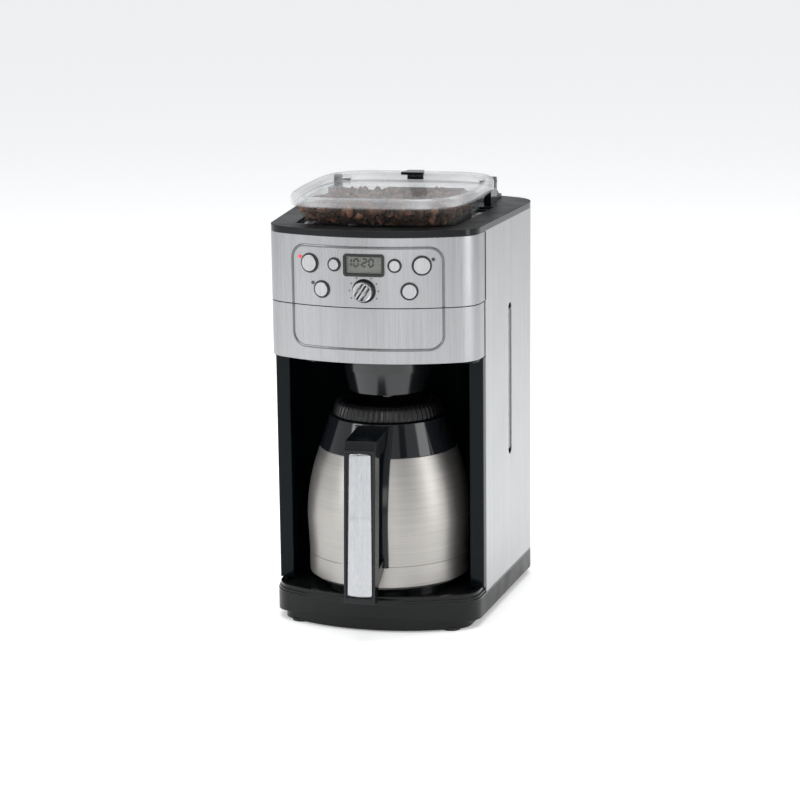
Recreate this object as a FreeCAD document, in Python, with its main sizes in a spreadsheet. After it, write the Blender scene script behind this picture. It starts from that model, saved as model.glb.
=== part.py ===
import FreeCAD, Part
import math
import os
import Sketcher
from types import SimpleNamespace

# A drip coffee maker with a burr grinder, a bean hopper and an insulated carafe.
# Millimetres. +Z is up, -Y is the front. The origin is on the floor, under the middle of the whole
# machine from the carafe's grip to the cord gland.

doc = FreeCAD.newDocument("coffee_maker")
sheet = doc.addObject("Spreadsheet::Sheet", "sizes")
Vector = FreeCAD.Vector
Rotation = FreeCAD.Rotation

driving = {
    # Outline of the body seen from above: two bowed ends and two sides that widen towards the back.
    "body_depth": 280, "middle_half_width": 107.7, "side_slope": 0.0744,
    "front_radius": 182, "back_radius": 200, "front_corner": 28, "back_corner": 38.5,
    # Heights, from the floor up.
    "foot_drop": 1.5, "skirt_low": 8, "arch_rise": 6, "arch_radius": 836, "base_top": 28.6,
    "tray_step": 2.4, "tray_rise": 6.4, "tray_depth": 2.6, "bay_height": 231.2,
    "door_height": 52.6, "panel_height": 65.4, "deck_band": 6.5,
    # Walls, seams and clearances.
    "steel": 1.2, "seat": 0.3, "wall": 3, "thin_wall": 2.2, "seam_setback": 61, "seam_gap": 0.8,
    "running": 0.05, "panel_setback": 252,
    # Base.
    "plinth_inset": 9, "plinth_shift": 6, "foot_radius": 9, "foot_recess": 1, "foot_across": 74,
    "foot_front": 28, "foot_back": 40, "base_screw_across": 58, "screw_radius": 1.5,
    "screw_head": 3.5, "screw_head_height": 1.5, "screw_length": 12, "boss_radius": 4,
    "rest_radius": 66, "rest_rise": 6.2, "tray_rim_width": 7,
    # Bay and carafe.
    "column_width": 13.8, "column_depth": 9, "carafe_setback": 86, "carafe_side_gap": 8.5,
    "carafe_lift": 0.3, "carafe_foot_in": 1.6, "cup_height": 23, "shoulder_height": 69,
    "shoulder_radius": 182, "collar_height": 31, "collar_top_in": 23, "carafe_lid_height": 14.5,
    "lid_gap": 10, "neck_radius": 33, "jacket_gap": 7, "carafe_wall": 1.2, "lid_edge_in": 2.5,
    "grip_width": 30, "grip_reach": 42, "grip_lean": 9, "grip_depth": 15, "strap_half": 18,
    "strap_depth": 3.6, "inlay_depth": 1.4, "inlay_width": 25.5,
    # Filter door and what it carries.
    "hinge_in": 13.8, "hinge_ahead": 21, "hinge_pin": 2, "knuckle": 5, "door_right_gap": 4,
    "door_left_gap": 0.4, "holder_radius": 42, "funnel_drop": 39.8, "holder_floor": 3,
    "holder_top_gap": 12, "door_plate_half": 62, "valve_radius": 6, "valve_travel": 4,
    "valve_drop": 8.5, "spring_height": 10, "spring_radius": 4.5, "spring_wire": 0.5,
    "shower_radius": 26, "shower_height": 6,
    # Control panel.
    "board_setback": 22, "board_half": 66, "button_out": 2, "button_travel": 1.2,
    "ring_width": 1.5, "upper_row": 40, "lower_row": 16.2, "knob_radius": 10, "knob_height": 11,
    "display_half": 19.5, "display_height": 21, "bezel": 2.4, "lens_radius": 1.6,
    # Deck, hopper and reservoir.
    "deck_rim": 24, "deck_recess": 3, "recess_setback": 180, "hopper_front": 45, "hopper_half": 70,
    "hopper_flare": 4, "hopper_lean": 27, "hopper_height": 20.7, "hopper_corner": 22,
    "lid_overhang": 5, "hopper_lid_height": 9.7, "lid_rim": 7, "lid_setback": 210, "lid_corner": 34,
    "throat_radius": 20, "grinder_radius": 26, "chamber_height": 31,
    "motor_radius": 24, "motor_length": 48, "spindle": 4, "post_half": 79, "ear_radius": 4.5,
    "tank_inset": 8, "tank_floor": 110, "fill_half": 74, "fill_setback": 221,
    "fill_depth": 40, "lid_plate": 3, "lug_radius": 8,
    "gauge_setback": 147, "gauge_low": 145, "gauge_high": 296, "gauge_half": 6,
    # Water path and mains entry.
    "heater_half": 45, "heater_height": 18, "tube_radius": 4, "riser_x": 40,
    "gland_x": 45, "gland_z": 48, "gland_radius": 9, "gland_out": 6, "cord_hole": 4,
}
for row, (name, value) in enumerate(driving.items(), start=1):
    sheet.set(f"A{row}", name)
    sheet.set(f"B{row}", str(value))
    sheet.setAlias(f"B{row}", name)
doc.recompute()


def formula(value):
    """The text that a property is bound to."""
    return value.text if isinstance(value, Size) else repr(float(value))


class Size(float):
    """A number that keeps the sheet formula which it comes from."""

    def __new__(cls, value, text):
        number = float.__new__(cls, value)
        number.text = text
        return number

    def __add__(self, other):
        return Size(float(self) + float(other), f"({self.text} + {formula(other)})")

    def __radd__(self, other):
        return Size(float(other) + float(self), f"({formula(other)} + {self.text})")

    def __sub__(self, other):
        return Size(float(self) - float(other), f"({self.text} - {formula(other)})")

    def __rsub__(self, other):
        return Size(float(other) - float(self), f"({formula(other)} - {self.text})")

    def __mul__(self, other):
        return Size(float(self) * float(other), f"({self.text} * {formula(other)})")

    __rmul__ = __mul__

    def __truediv__(self, other):
        return Size(float(self) / float(other), f"({self.text} / {formula(other)})")

    def __neg__(self):
        return Size(-float(self), f"(-1 * {self.text})")

    def root(self):
        return Size(math.sqrt(self), f"sqrt({self.text})")


size = SimpleNamespace(**{name: Size(sheet.get(name), f"sizes.{name}") for name in driving})

# Levels and lines that many pieces share.
slant = (size.side_slope * size.side_slope + 1).root()
seam_half = size.middle_half_width + (size.seam_setback - size.body_depth / 2) * size.side_slope
bay_radius = seam_half - size.column_width
widest = bay_radius - size.carafe_side_gap
carafe_foot = widest - size.carafe_foot_in
gland_dip = size.back_radius - (size.back_radius * size.back_radius - size.gland_x * size.gland_x).root()
handle_ahead = size.grip_reach + carafe_foot - size.carafe_setback
gland_behind = size.gland_out - gland_dip
front = (handle_ahead - gland_behind - size.body_depth) / 2
back = front + size.body_depth
body_middle = front + size.body_depth / 2
seam = front + size.seam_setback
panel_back = front + size.panel_setback
recess_back = front + size.recess_setback
lid_back = front + size.lid_setback
fill_front = front + size.fill_setback
fill_back = fill_front + size.fill_depth
front_axis = front + size.front_radius
tray_top = size.base_top + size.tray_rise
tray_floor = tray_top - size.tray_depth
head_low = size.base_top + size.bay_height
door_top = head_low + size.door_height
shelf_top = door_top + size.wall
steel_top = door_top + size.panel_height
deck_top = steel_top + size.deck_band
recess_floor = deck_top - size.deck_recess
liner_in = size.steel + size.seat
bay_y = front + size.carafe_setback
web_y = bay_y + size.holder_radius + 12
grinder_y = web_y + size.wall + size.motor_radius + 1
tank_front = grinder_y + size.motor_radius + 2
gauge_y = front + size.gauge_setback
gauge_x = size.middle_half_width + (gauge_y - body_middle) * size.side_slope - 8
riser_y = tank_front - 9
far = size.body_depth

finished = {}


def new(kind, name):
    return doc.addObject(kind, name)


def bind(thing, prop, value):
    thing.setExpression(prop, formula(value))


def at(thing, x, y, z):
    for axis, value in zip("xyz", (x, y, z)):
        bind(thing, f"Placement.Base.{axis}", value)
    return thing


def block(name, x_low, x_high, y_low, y_high, z_low, z_high):
    box = new("Part::Box", name)
    bind(box, "Length", x_high - x_low)
    bind(box, "Width", y_high - y_low)
    bind(box, "Height", z_high - z_low)
    return at(box, x_low, y_low, z_low)


def rod(name, axis, start, length, radius):
    """A cylinder that runs from start towards +X, +Y or +Z."""
    turn = {"x": (Vector(0, 1, 0), 90), "y": (Vector(1, 0, 0), -90), "z": (Vector(0, 0, 1), 0)}
    cylinder = new("Part::Cylinder", name)
    cylinder.Placement.Rotation = Rotation(*turn[axis])
    bind(cylinder, "Radius", radius)
    bind(cylinder, "Height", length)
    return at(cylinder, *start)


def post(name, x, y, z_low, z_high, radius):
    return rod(name, "z", (x, y, z_low), z_high - z_low, radius)


def join(name, *pieces):
    fusion = new("Part::MultiFuse", name)
    fusion.Shapes = list(pieces)
    return fusion


def cut(name, base, *tools):
    result = new("Part::Cut", name)
    result.Base = base
    result.Tool = tools[0] if len(tools) == 1 else join(name + "_tools", *tools)
    return result


def meet(name, one, other):
    common = new("Part::Common", name)
    common.Base = one
    common.Tool = other
    return common


def group(name, pieces):
    compound = new("Part::Compound", name)
    compound.Links = list(pieces)
    return compound


def finish(label, shape):
    """Give a sub-part its own label, which names its file."""
    shape.Label = label
    finished[label] = shape
    return shape


def tangent_loop(sketch, count):
    for index in range(count):
        sketch.addConstraint(Sketcher.Constraint("Tangent", index, 2, (index + 1) % count, 1))


def named(sketch, constraint, name, value):
    sketch.renameConstraint(sketch.addConstraint(constraint), name)
    sketch.setExpression("Constraints." + name, formula(value))


def guide_point(sketch, name, x, y):
    """A construction point held at x, y, for lines to pass through."""
    index = sketch.addGeometry(Part.Point(Vector(float(x), float(y), 0)), True)
    named(sketch, Sketcher.Constraint("DistanceX", -1, 1, index, 1, float(x)), name + "_x", x)
    named(sketch, Sketcher.Constraint("DistanceY", -1, 1, index, 1, float(y)), name + "_y", y)
    return index


def arc(centre, radius, start, end):
    first = math.atan2(start[1] - centre[1], start[0] - centre[0])
    last = math.atan2(end[1] - centre[1], end[0] - centre[0])
    if last < first:
        last += 2 * math.pi
    circle = Part.Circle(Vector(centre[0], centre[1], 0), Vector(0, 0, 1), radius)
    return Part.ArcOfCircle(circle, first, last)


def line(start, end):
    return Part.LineSegment(Vector(start[0], start[1], 0), Vector(end[0], end[1], 0))


def prism(name, sketch, height):
    solid = new("Part::Extrusion", name)
    solid.Base = sketch
    solid.DirMode = "Normal"
    solid.Solid = True
    bind(solid, "LengthFwd", height)
    return solid


def body_outline(name, inset):
    """The body's outline seen from above, moved in by inset all round."""
    slope = float(size.side_slope)
    stretch = float(slant)
    reach = float(size.middle_half_width - inset * slant - body_middle * size.side_slope)
    ends = []
    for axis, big, small, way in (
            (front_axis, size.front_radius - inset, size.front_corner - inset, -1),
            (back - size.back_radius, size.back_radius - inset, size.back_corner - inset, 1)):
        start = reach - float(small) * stretch
        a = 1 + slope * slope
        b = 2 * (start * slope - float(axis))
        c = start * start + float(axis) ** 2 - float(big - small) ** 2
        y = (-b + way * math.sqrt(b * b - 4 * a * c)) / (2 * a)
        x = start + slope * y
        away = math.hypot(x, y - float(axis))
        on_end = (x / away * float(big), float(axis) + (y - float(axis)) / away * float(big))
        on_side = (x + float(small) / stretch, y - float(small) * slope / stretch)
        ends.append(((x, y), on_end, on_side, axis, big, small))
    (fc, f_end, f_side, f_axis, f_big, f_small), (bc, b_end, b_side, b_axis, b_big, b_small) = ends

    def left(point):
        return (-point[0], point[1])

    sketch = new("Sketcher::SketchObject", name)
    sketch.addGeometry([
        arc((0, float(f_axis)), float(f_big), left(f_end), f_end),
        arc(fc, float(f_small), f_end, f_side),
        line(f_side, b_side),
        arc(bc, float(b_small), b_side, b_end),
        arc((0, float(b_axis)), float(b_big), b_end, left(b_end)),
        arc(left(bc), float(b_small), left(b_end), left(b_side)),
        line(left(b_side), left(f_side)),
        arc(left(fc), float(f_small), left(f_side), left(f_end))], False)
    tangent_loop(sketch, 8)
    for index, axis in ((0, f_axis), (4, b_axis)):
        sketch.addConstraint(Sketcher.Constraint("PointOnObject", index, 3, -2))
        named(sketch, Sketcher.Constraint("DistanceY", -1, 1, index, 3, float(axis)), f"axis_{index}", axis)
    for index, radius in ((0, f_big), (1, f_small), (3, b_small), (4, b_big), (5, b_small), (7, f_small)):
        named(sketch, Sketcher.Constraint("Radius", index, float(radius)), f"round_{index}", radius)
    for index, way in ((2, 1), (6, -1)):
        for spot, ahead in (("near", -size.body_depth / 4), ("rear", size.body_depth / 4)):
            x = (size.middle_half_width - inset * slant + ahead * size.side_slope) * way
            point = guide_point(sketch, f"{spot}_{index}", x, body_middle + ahead)
            sketch.addConstraint(Sketcher.Constraint("PointOnObject", point, 1, index))
    return sketch


def slab(name, inset, z_low, z_high, shift=0.0):
    """A solid with the body's outline."""
    sketch = body_outline(name + "_outline", inset)
    at(sketch, 0, shift, z_low)
    return prism(name, sketch, z_high - z_low)


def shell(name, outer, inner, z_low, z_high):
    return cut(name, slab(name + "_out", outer, z_low, z_high), slab(name + "_in", inner, z_low, z_high))


def rounded_outline(name, low_half, high_half, low, high, corner):
    """A four-sided outline with round corners, as wide as low_half at low and high_half at high."""
    points = [(-low_half, low), (low_half, low), (high_half, high), (-high_half, high)]
    flat = [(float(x), float(y)) for x, y in points]
    radius = float(corner)
    trimmed = []
    for index, (x, y) in enumerate(flat):
        before, after = flat[index - 1], flat[(index + 1) % 4]
        to_before = Vector(before[0] - x, before[1] - y, 0).normalize()
        to_after = Vector(after[0] - x, after[1] - y, 0).normalize()
        half_angle = to_before.getAngle(to_after) / 2
        trim = radius / math.tan(half_angle)
        corner_point = Vector(x, y, 0)
        centre = corner_point + (to_before + to_after).normalize() * (radius / math.sin(half_angle))
        trimmed.append((corner_point + to_before * trim, corner_point + to_after * trim, centre))
    sketch = new("Sketcher::SketchObject", name)
    for index in range(4):
        start, end, centre = trimmed[index]
        following = trimmed[(index + 1) % 4]
        sketch.addGeometry(arc((centre.x, centre.y), radius, (start.x, start.y), (end.x, end.y)), False)
        sketch.addGeometry(line((end.x, end.y), (following[0].x, following[0].y)), False)
    tangent_loop(sketch, 8)
    guides = [guide_point(sketch, f"corner_{index}", x, y) for index, (x, y) in enumerate(points)]
    for index in range(4):
        named(sketch, Sketcher.Constraint("Radius", 2 * index, radius), f"round_{index}", corner)
        for guide in (guides[index], guides[(index + 1) % 4]):
            sketch.addConstraint(Sketcher.Constraint("PointOnObject", guide, 1, 2 * index + 1))
    return sketch


def pad(name, low_half, high_half, y_low, y_high, corner, z_low, z_high):
    """A flat block with round corners, seen from above."""
    sketch = rounded_outline(name + "_outline", low_half, high_half, y_low, y_high, corner)
    at(sketch, 0, 0, z_low)
    return prism(name, sketch, z_high - z_low)


def upright(name, middle, half, z_low, z_high, corner, y_front, y_back):
    """A flat block with round corners, seen from the front."""
    sketch = rounded_outline(name + "_outline", half, half, z_low, z_high, corner)
    sketch.Placement.Rotation = Rotation(Vector(1, 0, 0), 90)
    at(sketch, middle, y_back, 0)
    return prism(name, sketch, y_back - y_front)


def taper(name, low_outline, high_outline):
    solid = new("Part::Loft", name)
    solid.Sections = [low_outline, high_outline]
    solid.Solid = True
    solid.Ruled = True
    return solid


def lathe(name, points, x=0.0, y=0.0):
    """A turned piece. points are radius, height and, for an arc to that point, its radius,

    which is negative where the arc is drawn clockwise.
    """
    body = new("PartDesign::Body", name)
    sketch = body.newObject("Sketcher::SketchObject", name + "_profile")
    plane = [f for f in body.Origin.OriginFeatures if f.Role == "XZ_Plane"][0]
    sketch.AttachmentSupport = [(plane, "")]
    sketch.MapMode = "FlatFace"
    clockwise = [len(points[(i + 1) % len(points)]) == 3 and points[(i + 1) % len(points)][2] < 0
                 for i in range(len(points))]
    for index, point in enumerate(points):
        following = points[(index + 1) % len(points)]
        start = (float(point[0]), float(point[1]))
        end = (float(following[0]), float(following[1]))
        if len(following) == 2:
            sketch.addGeometry(line(start, end), False)
            continue
        if clockwise[index]:
            start, end = end, start
        radius = abs(float(following[2]))
        chord = Vector(end[0] - start[0], end[1] - start[1], 0)
        rise = math.sqrt(radius * radius - chord.Length ** 2 / 4)
        middle = Vector((start[0] + end[0]) / 2, (start[1] + end[1]) / 2, 0)
        centre = middle + Vector(-chord.y, chord.x, 0).normalize() * rise
        sketch.addGeometry(arc((centre.x, centre.y), radius, start, end), False)
        bow = -following[2] if clockwise[index] else following[2]
        named(sketch, Sketcher.Constraint("Radius", index, radius), f"bow_{index}", bow)
    for index, point in enumerate(points):
        following = (index + 1) % len(points)
        begin = 2 if clockwise[index] else 1
        next_begin = 2 if clockwise[following] else 1
        sketch.addConstraint(Sketcher.Constraint("Coincident", index, 3 - begin, following, next_begin))
        if float(point[0]) == 0:
            sketch.addConstraint(Sketcher.Constraint("PointOnObject", index, begin, -2))
        else:
            across = Sketcher.Constraint("DistanceX", -1, 1, index, begin, float(point[0]))
            named(sketch, across, f"radius_{index}", point[0])
        upward = Sketcher.Constraint("DistanceY", -1, 1, index, begin, float(point[1]))
        named(sketch, upward, f"height_{index}", point[1])
    turned = body.newObject("PartDesign::Revolution", name + "_turned")
    turned.Profile = sketch
    turned.ReferenceAxis = (sketch, ["V_Axis"])
    turned.Angle = 360
    return at(body, x, y, 0)


def normal_rod(name, across, height, low, high, radius):
    """A cylinder square to the bowed front, from low to high as measured from the bow's axis."""
    angle = math.asin(float(across) / float(size.front_radius))
    outward = Vector(math.sin(angle), -math.cos(angle), 0)
    cylinder = new("Part::Cylinder", name)
    bind(cylinder, "Radius", radius)
    bind(cylinder, "Height", high - low)
    start = Vector(0, float(front_axis), float(height)) + outward * float(low)
    turn = Rotation(Vector(0, 0, 1), math.degrees(angle)) * Rotation(Vector(1, 0, 0), 90)
    cylinder.Placement = FreeCAD.Placement(start, turn)
    return cylinder


def pipe(name, points, radius, bend):
    """A round tube through the points, with a bend of one radius at each corner."""
    spots = [Vector(*[float(v) for v in point]) for point in points]
    edges = []
    start = spots[0]
    for before, spot, after in zip(spots, spots[1:], spots[2:]):
        inward = (before - spot).normalize()
        outward = (after - spot).normalize()
        half_angle = inward.getAngle(outward) / 2
        trim = float(bend) / math.tan(half_angle)
        centre = spot + (inward + outward).normalize() * (float(bend) / math.sin(half_angle))
        middle = centre + (spot - centre).normalize() * float(bend)
        edges.append(Part.LineSegment(start, spot + inward * trim).toShape())
        edges.append(Part.Arc(spot + inward * trim, middle, spot + outward * trim).toShape())
        start = spot + outward * trim
    edges.append(Part.LineSegment(start, spots[-1]).toShape())
    path = Part.Wire(edges)
    circle = Part.Wire(Part.makeCircle(float(radius), spots[0], spots[1] - spots[0]))
    tube = new("Part::Feature", name)
    tube.Shape = path.makePipeShell([circle], True, True)
    return tube


# ---------------------------------------------------------------- base

def make_base():
    tray_low = size.foot_drop
    under = size.base_top - size.wall
    plinth_in = size.plinth_inset + size.wall
    tray = cut("plinth_hollow", slab("plinth", size.plinth_inset, tray_low, under, -size.plinth_shift),
               slab("plinth_room", plinth_in, tray_low + 2.5, under + 1, -size.plinth_shift))
    foot_spots = [(side * size.foot_across, y) for side in (-1, 1)
                  for y in (front + size.foot_front, back - size.foot_back)]
    screw_spots = [(side * size.base_screw_across, y) for side in (-1, 1)
                   for y in (front + size.foot_front, back - size.foot_back)]
    recesses = [post(f"foot_recess_{i}", x, y, tray_low, tray_low + size.foot_recess,
                     size.foot_radius + size.seat) for i, (x, y) in enumerate(foot_spots)]
    head_room = [post(f"head_recess_{i}", x, y, tray_low, tray_low + size.screw_head_height,
                      size.screw_head + size.seat) for i, (x, y) in enumerate(screw_spots)]
    shank_room = [post(f"shank_hole_{i}", x, y, tray_low, tray_low + 5, size.screw_radius + size.seat)
                  for i, (x, y) in enumerate(screw_spots)]
    finish("base_tray", cut("base_tray", tray, *recesses, *head_room, *shank_room))
    feet = [post(f"foot_{i}", x, y, 0, tray_low + size.foot_recess, size.foot_radius)
            for i, (x, y) in enumerate(foot_spots)]
    finish("rubber_feet", group("rubber_feet", feet))

    # The cover is a skirt with a top plate, and in front a raised tray with a stepped rim.
    skirt = cut("skirt", slab("skirt_out", 0.0, size.skirt_low, size.base_top),
                slab("skirt_in", size.wall, size.skirt_low, under))
    ahead = block("ahead_of_seam", -far, far, -far, seam - size.seam_gap, size.base_top, tray_top)
    low_step = meet("low_step", slab("low_step_slab", 0.9, size.base_top, size.base_top + size.tray_step),
                    ahead)
    high_step = meet("high_step", slab("high_step_slab", 2.2, size.base_top, tray_top), ahead)
    bay_floor = join("bay_floor", *bay_shape("floor", bay_radius - size.seat, seam - 1, size.base_top,
                                             tray_floor))
    bosses = [post(f"boss_{i}", x, y, tray_low + 2.5, under, size.boss_radius)
              for i, (x, y) in enumerate(screw_spots)]
    cover = join("cover_solid", skirt, low_step, high_step, bay_floor, *bosses)
    sunk = meet("sunk", slab("sunk_slab", size.tray_rim_width, tray_floor, tray_top + 1),
                block("sunk_limit", -far, far, -far, bay_y, tray_floor, tray_top + 1))
    arch = rod("arch", "y", (0.0, -far, size.skirt_low + size.arch_rise - size.arch_radius),
               far + seam, size.arch_radius)
    threads = [post(f"thread_{i}", x, y, tray_low, tray_low + size.screw_head_height + size.screw_length,
                    size.screw_radius + size.running) for i, (x, y) in enumerate(screw_spots)]
    finish("base_cover", cut("base_cover", cover, sunk, arch, *threads))
    screws = []
    for i, (x, y) in enumerate(screw_spots):
        neck = tray_low + size.screw_head_height
        screws.append(join(f"base_screw_{i}", post(f"base_screw_head_{i}", x, y, tray_low, neck,
                                                   size.screw_head),
                           post(f"base_screw_shank_{i}", x, y, neck, neck + size.screw_length,
                                size.screw_radius)))
    finish("base_screws", group("base_screws", screws))
    rest = size.rest_radius
    finish("carafe_rest", lathe("carafe_rest", [
        (0.0, tray_floor), (rest, tray_floor), (rest, tray_floor + size.rest_rise - 2),
        (rest - 2, tray_floor + size.rest_rise), (0.0, tray_floor + size.rest_rise)], 0.0, bay_y))


def bay_shape(name, radius, y_low, z_low, z_high):
    """The bay seen from above: straight sides that end in a half round at the back."""
    return (block(name + "_straight", -radius, radius, y_low, bay_y, z_low, z_high),
            post(name + "_round", 0.0, bay_y, z_low, z_high, radius))


# ---------------------------------------------------------------- tower

def hinge_spot():
    return -(seam_half - size.hinge_in), seam - size.hinge_ahead


def make_liner():
    hinge_x, hinge_y = hinge_spot()
    lip = seam - size.seam_gap
    outer = join("liner_outer", *bay_shape("liner_out", bay_radius + size.thin_wall, lip,
                                           size.base_top, head_low))
    columns = meet("columns", slab("columns_slab", 0.0, tray_top, head_low),
                   block("columns_limit", -far, far, lip - size.column_depth, lip, tray_top, head_low))
    tongues = meet("tongues", slab("tongues_slab", liner_in, size.base_top, head_low),
                   block("tongues_limit", -far, far, lip, lip + size.column_depth, size.base_top, head_low))
    room = join("bay_room", *bay_shape("bay", bay_radius, front, size.base_top, head_low - size.thin_wall))
    walls = cut("liner_walls", join("liner_solid", outer, columns, tongues), room)
    # The roof of the bay is open where the filter holder hangs and swings out.
    roof = meet("bay_roof", slab("bay_roof_slab", liner_in, head_low - size.thin_wall, head_low),
                block("bay_roof_limit", -far, far, hinge_y - 8, tank_front - 2, 0.0, head_low))
    reach = size.holder_radius + 12
    swing = math.hypot(float(hinge_x), float(bay_y - hinge_y))
    bearing = math.degrees(math.atan2(float(bay_y - hinge_y), -float(hinge_x)))
    path = new("Part::Box", "swing_side")
    bind(path, "Length", far)
    bind(path, "Width", far)
    bind(path, "Height", far)
    path.Placement = FreeCAD.Placement(Vector(float(hinge_x), float(hinge_y), 0), Rotation(Vector(0, 0,
                                                                                                  1),
                                                                                                  bearing - 90))
    ring = cut("swing_ring", post("swing_out", hinge_x, hinge_y, 0.0, far * 2, swing + reach),
               post("swing_in", hinge_x, hinge_y, 0.0, far * 2, swing - reach))
    opening = join("swing_opening", meet("swing_path", ring, path),
                   post("holder_hole", 0.0, bay_y, 0.0, far * 2, reach))
    pin_hole = post("liner_pin_hole", hinge_x, hinge_y, 0.0, far * 2, size.hinge_pin + size.running)
    riser_hole = post("liner_riser_hole", size.riser_x, riser_y, 0.0, far * 2, size.tube_radius + size.seat)
    link_room = block("link_room", gauge_x - 14, gauge_x - 6, gauge_y, tank_front, 0.0, far * 2)
    finish("tower_liner", join("tower_liner", cut("liner_open", walls, opening),
                               cut("roof_open", roof, opening, pin_hole, riser_hole, gauge_room("liner"),
                                   link_room)))


def make_panels():
    skin = shell("side_skin", 0.0, size.steel, size.base_top, steel_top)
    for side, label in ((-1, "left_side_panel"), (1, "right_side_panel")):
        limits = sorted((side * 1.0, side * far))
        span = block(label + "_span", limits[0], limits[1], seam, panel_back, size.base_top, steel_top)
        panel = meet(label + "_sheet", skin, span)
        if side == 1:
            y = gauge_y
            half = size.gauge_half
            slot = join("gauge_slot", block("gauge_slot_middle", 50.0, far, y - half, y + half,
                                            size.gauge_low + half, size.gauge_high - half),
                        rod("gauge_slot_low", "x", (50.0, y, size.gauge_low + half), far, half),
                        rod("gauge_slot_high", "x", (50.0, y, size.gauge_high - half), far, half))
            panel = cut("slotted_panel", panel, slot)
        finish(label, panel)

    edge = panel_back + size.seam_gap
    outer = meet("rear_outer", shell("rear_skin", 0.0, size.wall, size.base_top, steel_top),
                 block("rear_limit", -far, far, edge, far, size.base_top, steel_top))
    lap = meet("rear_lap", shell("lap_skin", liner_in, liner_in + 2, size.base_top, steel_top),
               block("lap_limit", -far, far, panel_back - 8, edge + 2, size.base_top, steel_top))
    vents = [block(f"vent_{i}", -34.0, 34.0, back - 30, far, size.base_top + 40 + 8 * i,
                   size.base_top + 43 + 8 * i)
             for i in range(6)]
    gland = rod("gland_hole", "y", (size.gland_x, back - 40, size.gland_z), far,
                size.gland_radius - 2 + size.seat)
    screw_spots = [(x, z) for x in (-70, 70) for z in (size.base_top + 14, steel_top - 14)]
    holes = [rod(f"rear_hole_{i}", "y", (x, back - 60, z), far, size.screw_radius + size.seat)
             for i, (x, z) in enumerate(screw_spots)]
    finish("rear_cover", cut("rear_cover", join("rear_solid", outer, lap), gland, *vents, *holes))
    screws = []
    for i, (x, z) in enumerate(screw_spots):
        face = back - size.back_radius + math.sqrt(size.back_radius ** 2 - x * x)
        head = rod(f"rear_screw_head_{i}", "y", (x, face + 1.2, z), size.screw_head_height, size.screw_head)
        shank = rod(f"rear_screw_shank_{i}", "y", (x, face - 8, z), 9.3, size.screw_radius)
        screws.append(join(f"rear_screw_{i}", head, shank))
    finish("rear_screws", group("rear_screws", screws))
    face = back - gland_dip
    throat = rod("gland_throat", "y", (size.gland_x, face - 8, size.gland_z), 12.0, size.gland_radius - 2)
    flange = rod("gland_flange", "y", (size.gland_x, face + 2.4, size.gland_z), size.gland_out - 2.4,
                 size.gland_radius)
    nut = rod("gland_nut", "y", (size.gland_x, face - 10, size.gland_z), 4.0, size.gland_radius)
    hole = rod("gland_bore", "y", (size.gland_x, face - 20, size.gland_z), 40.0, size.cord_hole)
    finish("cord_gland", cut("cord_gland", join("gland_solid", throat, flange, nut), hole))


# ---------------------------------------------------------------- head

def gauge_room(name):
    """The space that the water gauge needs inside the right side."""
    return block(name + "_gauge_room", gauge_x - 14, far, gauge_y - 10, gauge_y + 10, size.gauge_low - 6,
                 size.gauge_high + 6)


def make_chassis():
    end = tank_front - 2
    solid = meet("chassis_solid", slab("chassis_slab", liner_in, head_low, steel_top),
                 block("chassis_limit", -far, far, -far, end, head_low, steel_top))
    inner = liner_in + size.wall
    upper = slab("upper_room", inner, shelf_top, steel_top + 1)
    lower = slab("lower_room_slab", inner, head_low - 1, door_top)
    front_room = meet("front_room", lower, block("front_limit", -far, far, -far, web_y, 0.0, door_top))
    rear_room = meet("rear_room", lower, block("rear_room_limit", -far, far, web_y + size.wall, far,
                                               0.0, door_top))
    door_room = block("door_room", -far, far, -far, seam + 5, head_low - 1, door_top)
    window = block("panel_window", -70.0, 70.0, -far, front + 34, door_top + 6, steel_top - 8)
    hinge_x, hinge_y = hinge_spot()
    chute = block("chute_hole", -14.4, 14.4, web_y - 19.4, web_y - 3.6, 0.0, far * 2)
    spindle = post("spindle_hole", 0.0, grinder_y, 0.0, far * 2, size.spindle + 2)
    riser = post("riser_hole", size.riser_x, riser_y, 0.0, far * 2, size.tube_radius + size.seat)
    spray = post("spray_hole", 0.0, bay_y, 0.0, far * 2, size.tube_radius + 2 + size.seat)
    pin = post("chassis_pin_hole", hinge_x, hinge_y, 0.0, far * 2, size.hinge_pin + size.running)
    finish("head_chassis", cut("head_chassis", solid, upper, front_room, rear_room, door_room, window,
                               chute, spindle, riser, spray, pin, gauge_room("chassis")))
    finish("door_hinge_pin", post("door_hinge_pin", hinge_x, hinge_y, head_low - size.thin_wall, shelf_top,
                                  size.hinge_pin))


# Each control: where it sits across the front, its row, its radius and its label.
buttons = [
    ("on_off_button", -53.5, "upper", 7.5), ("hour_button", -28.5, "upper", 4.75),
    ("minute_button", 28.8, "upper", 4.75), ("program_button", 53.2, "upper", 7.5),
    ("grind_off_button", -41.3, "lower", 6.5), ("strength_button", 42.0, "lower", 6.5),
]
lights = [("power_light", -63.9, 5.3), ("program_light", 63.3, 5.5), ("grind_light", -50.5, -18.3)]


def row_height(row):
    return door_top + (size.upper_row if row == "upper" else size.lower_row)


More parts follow.
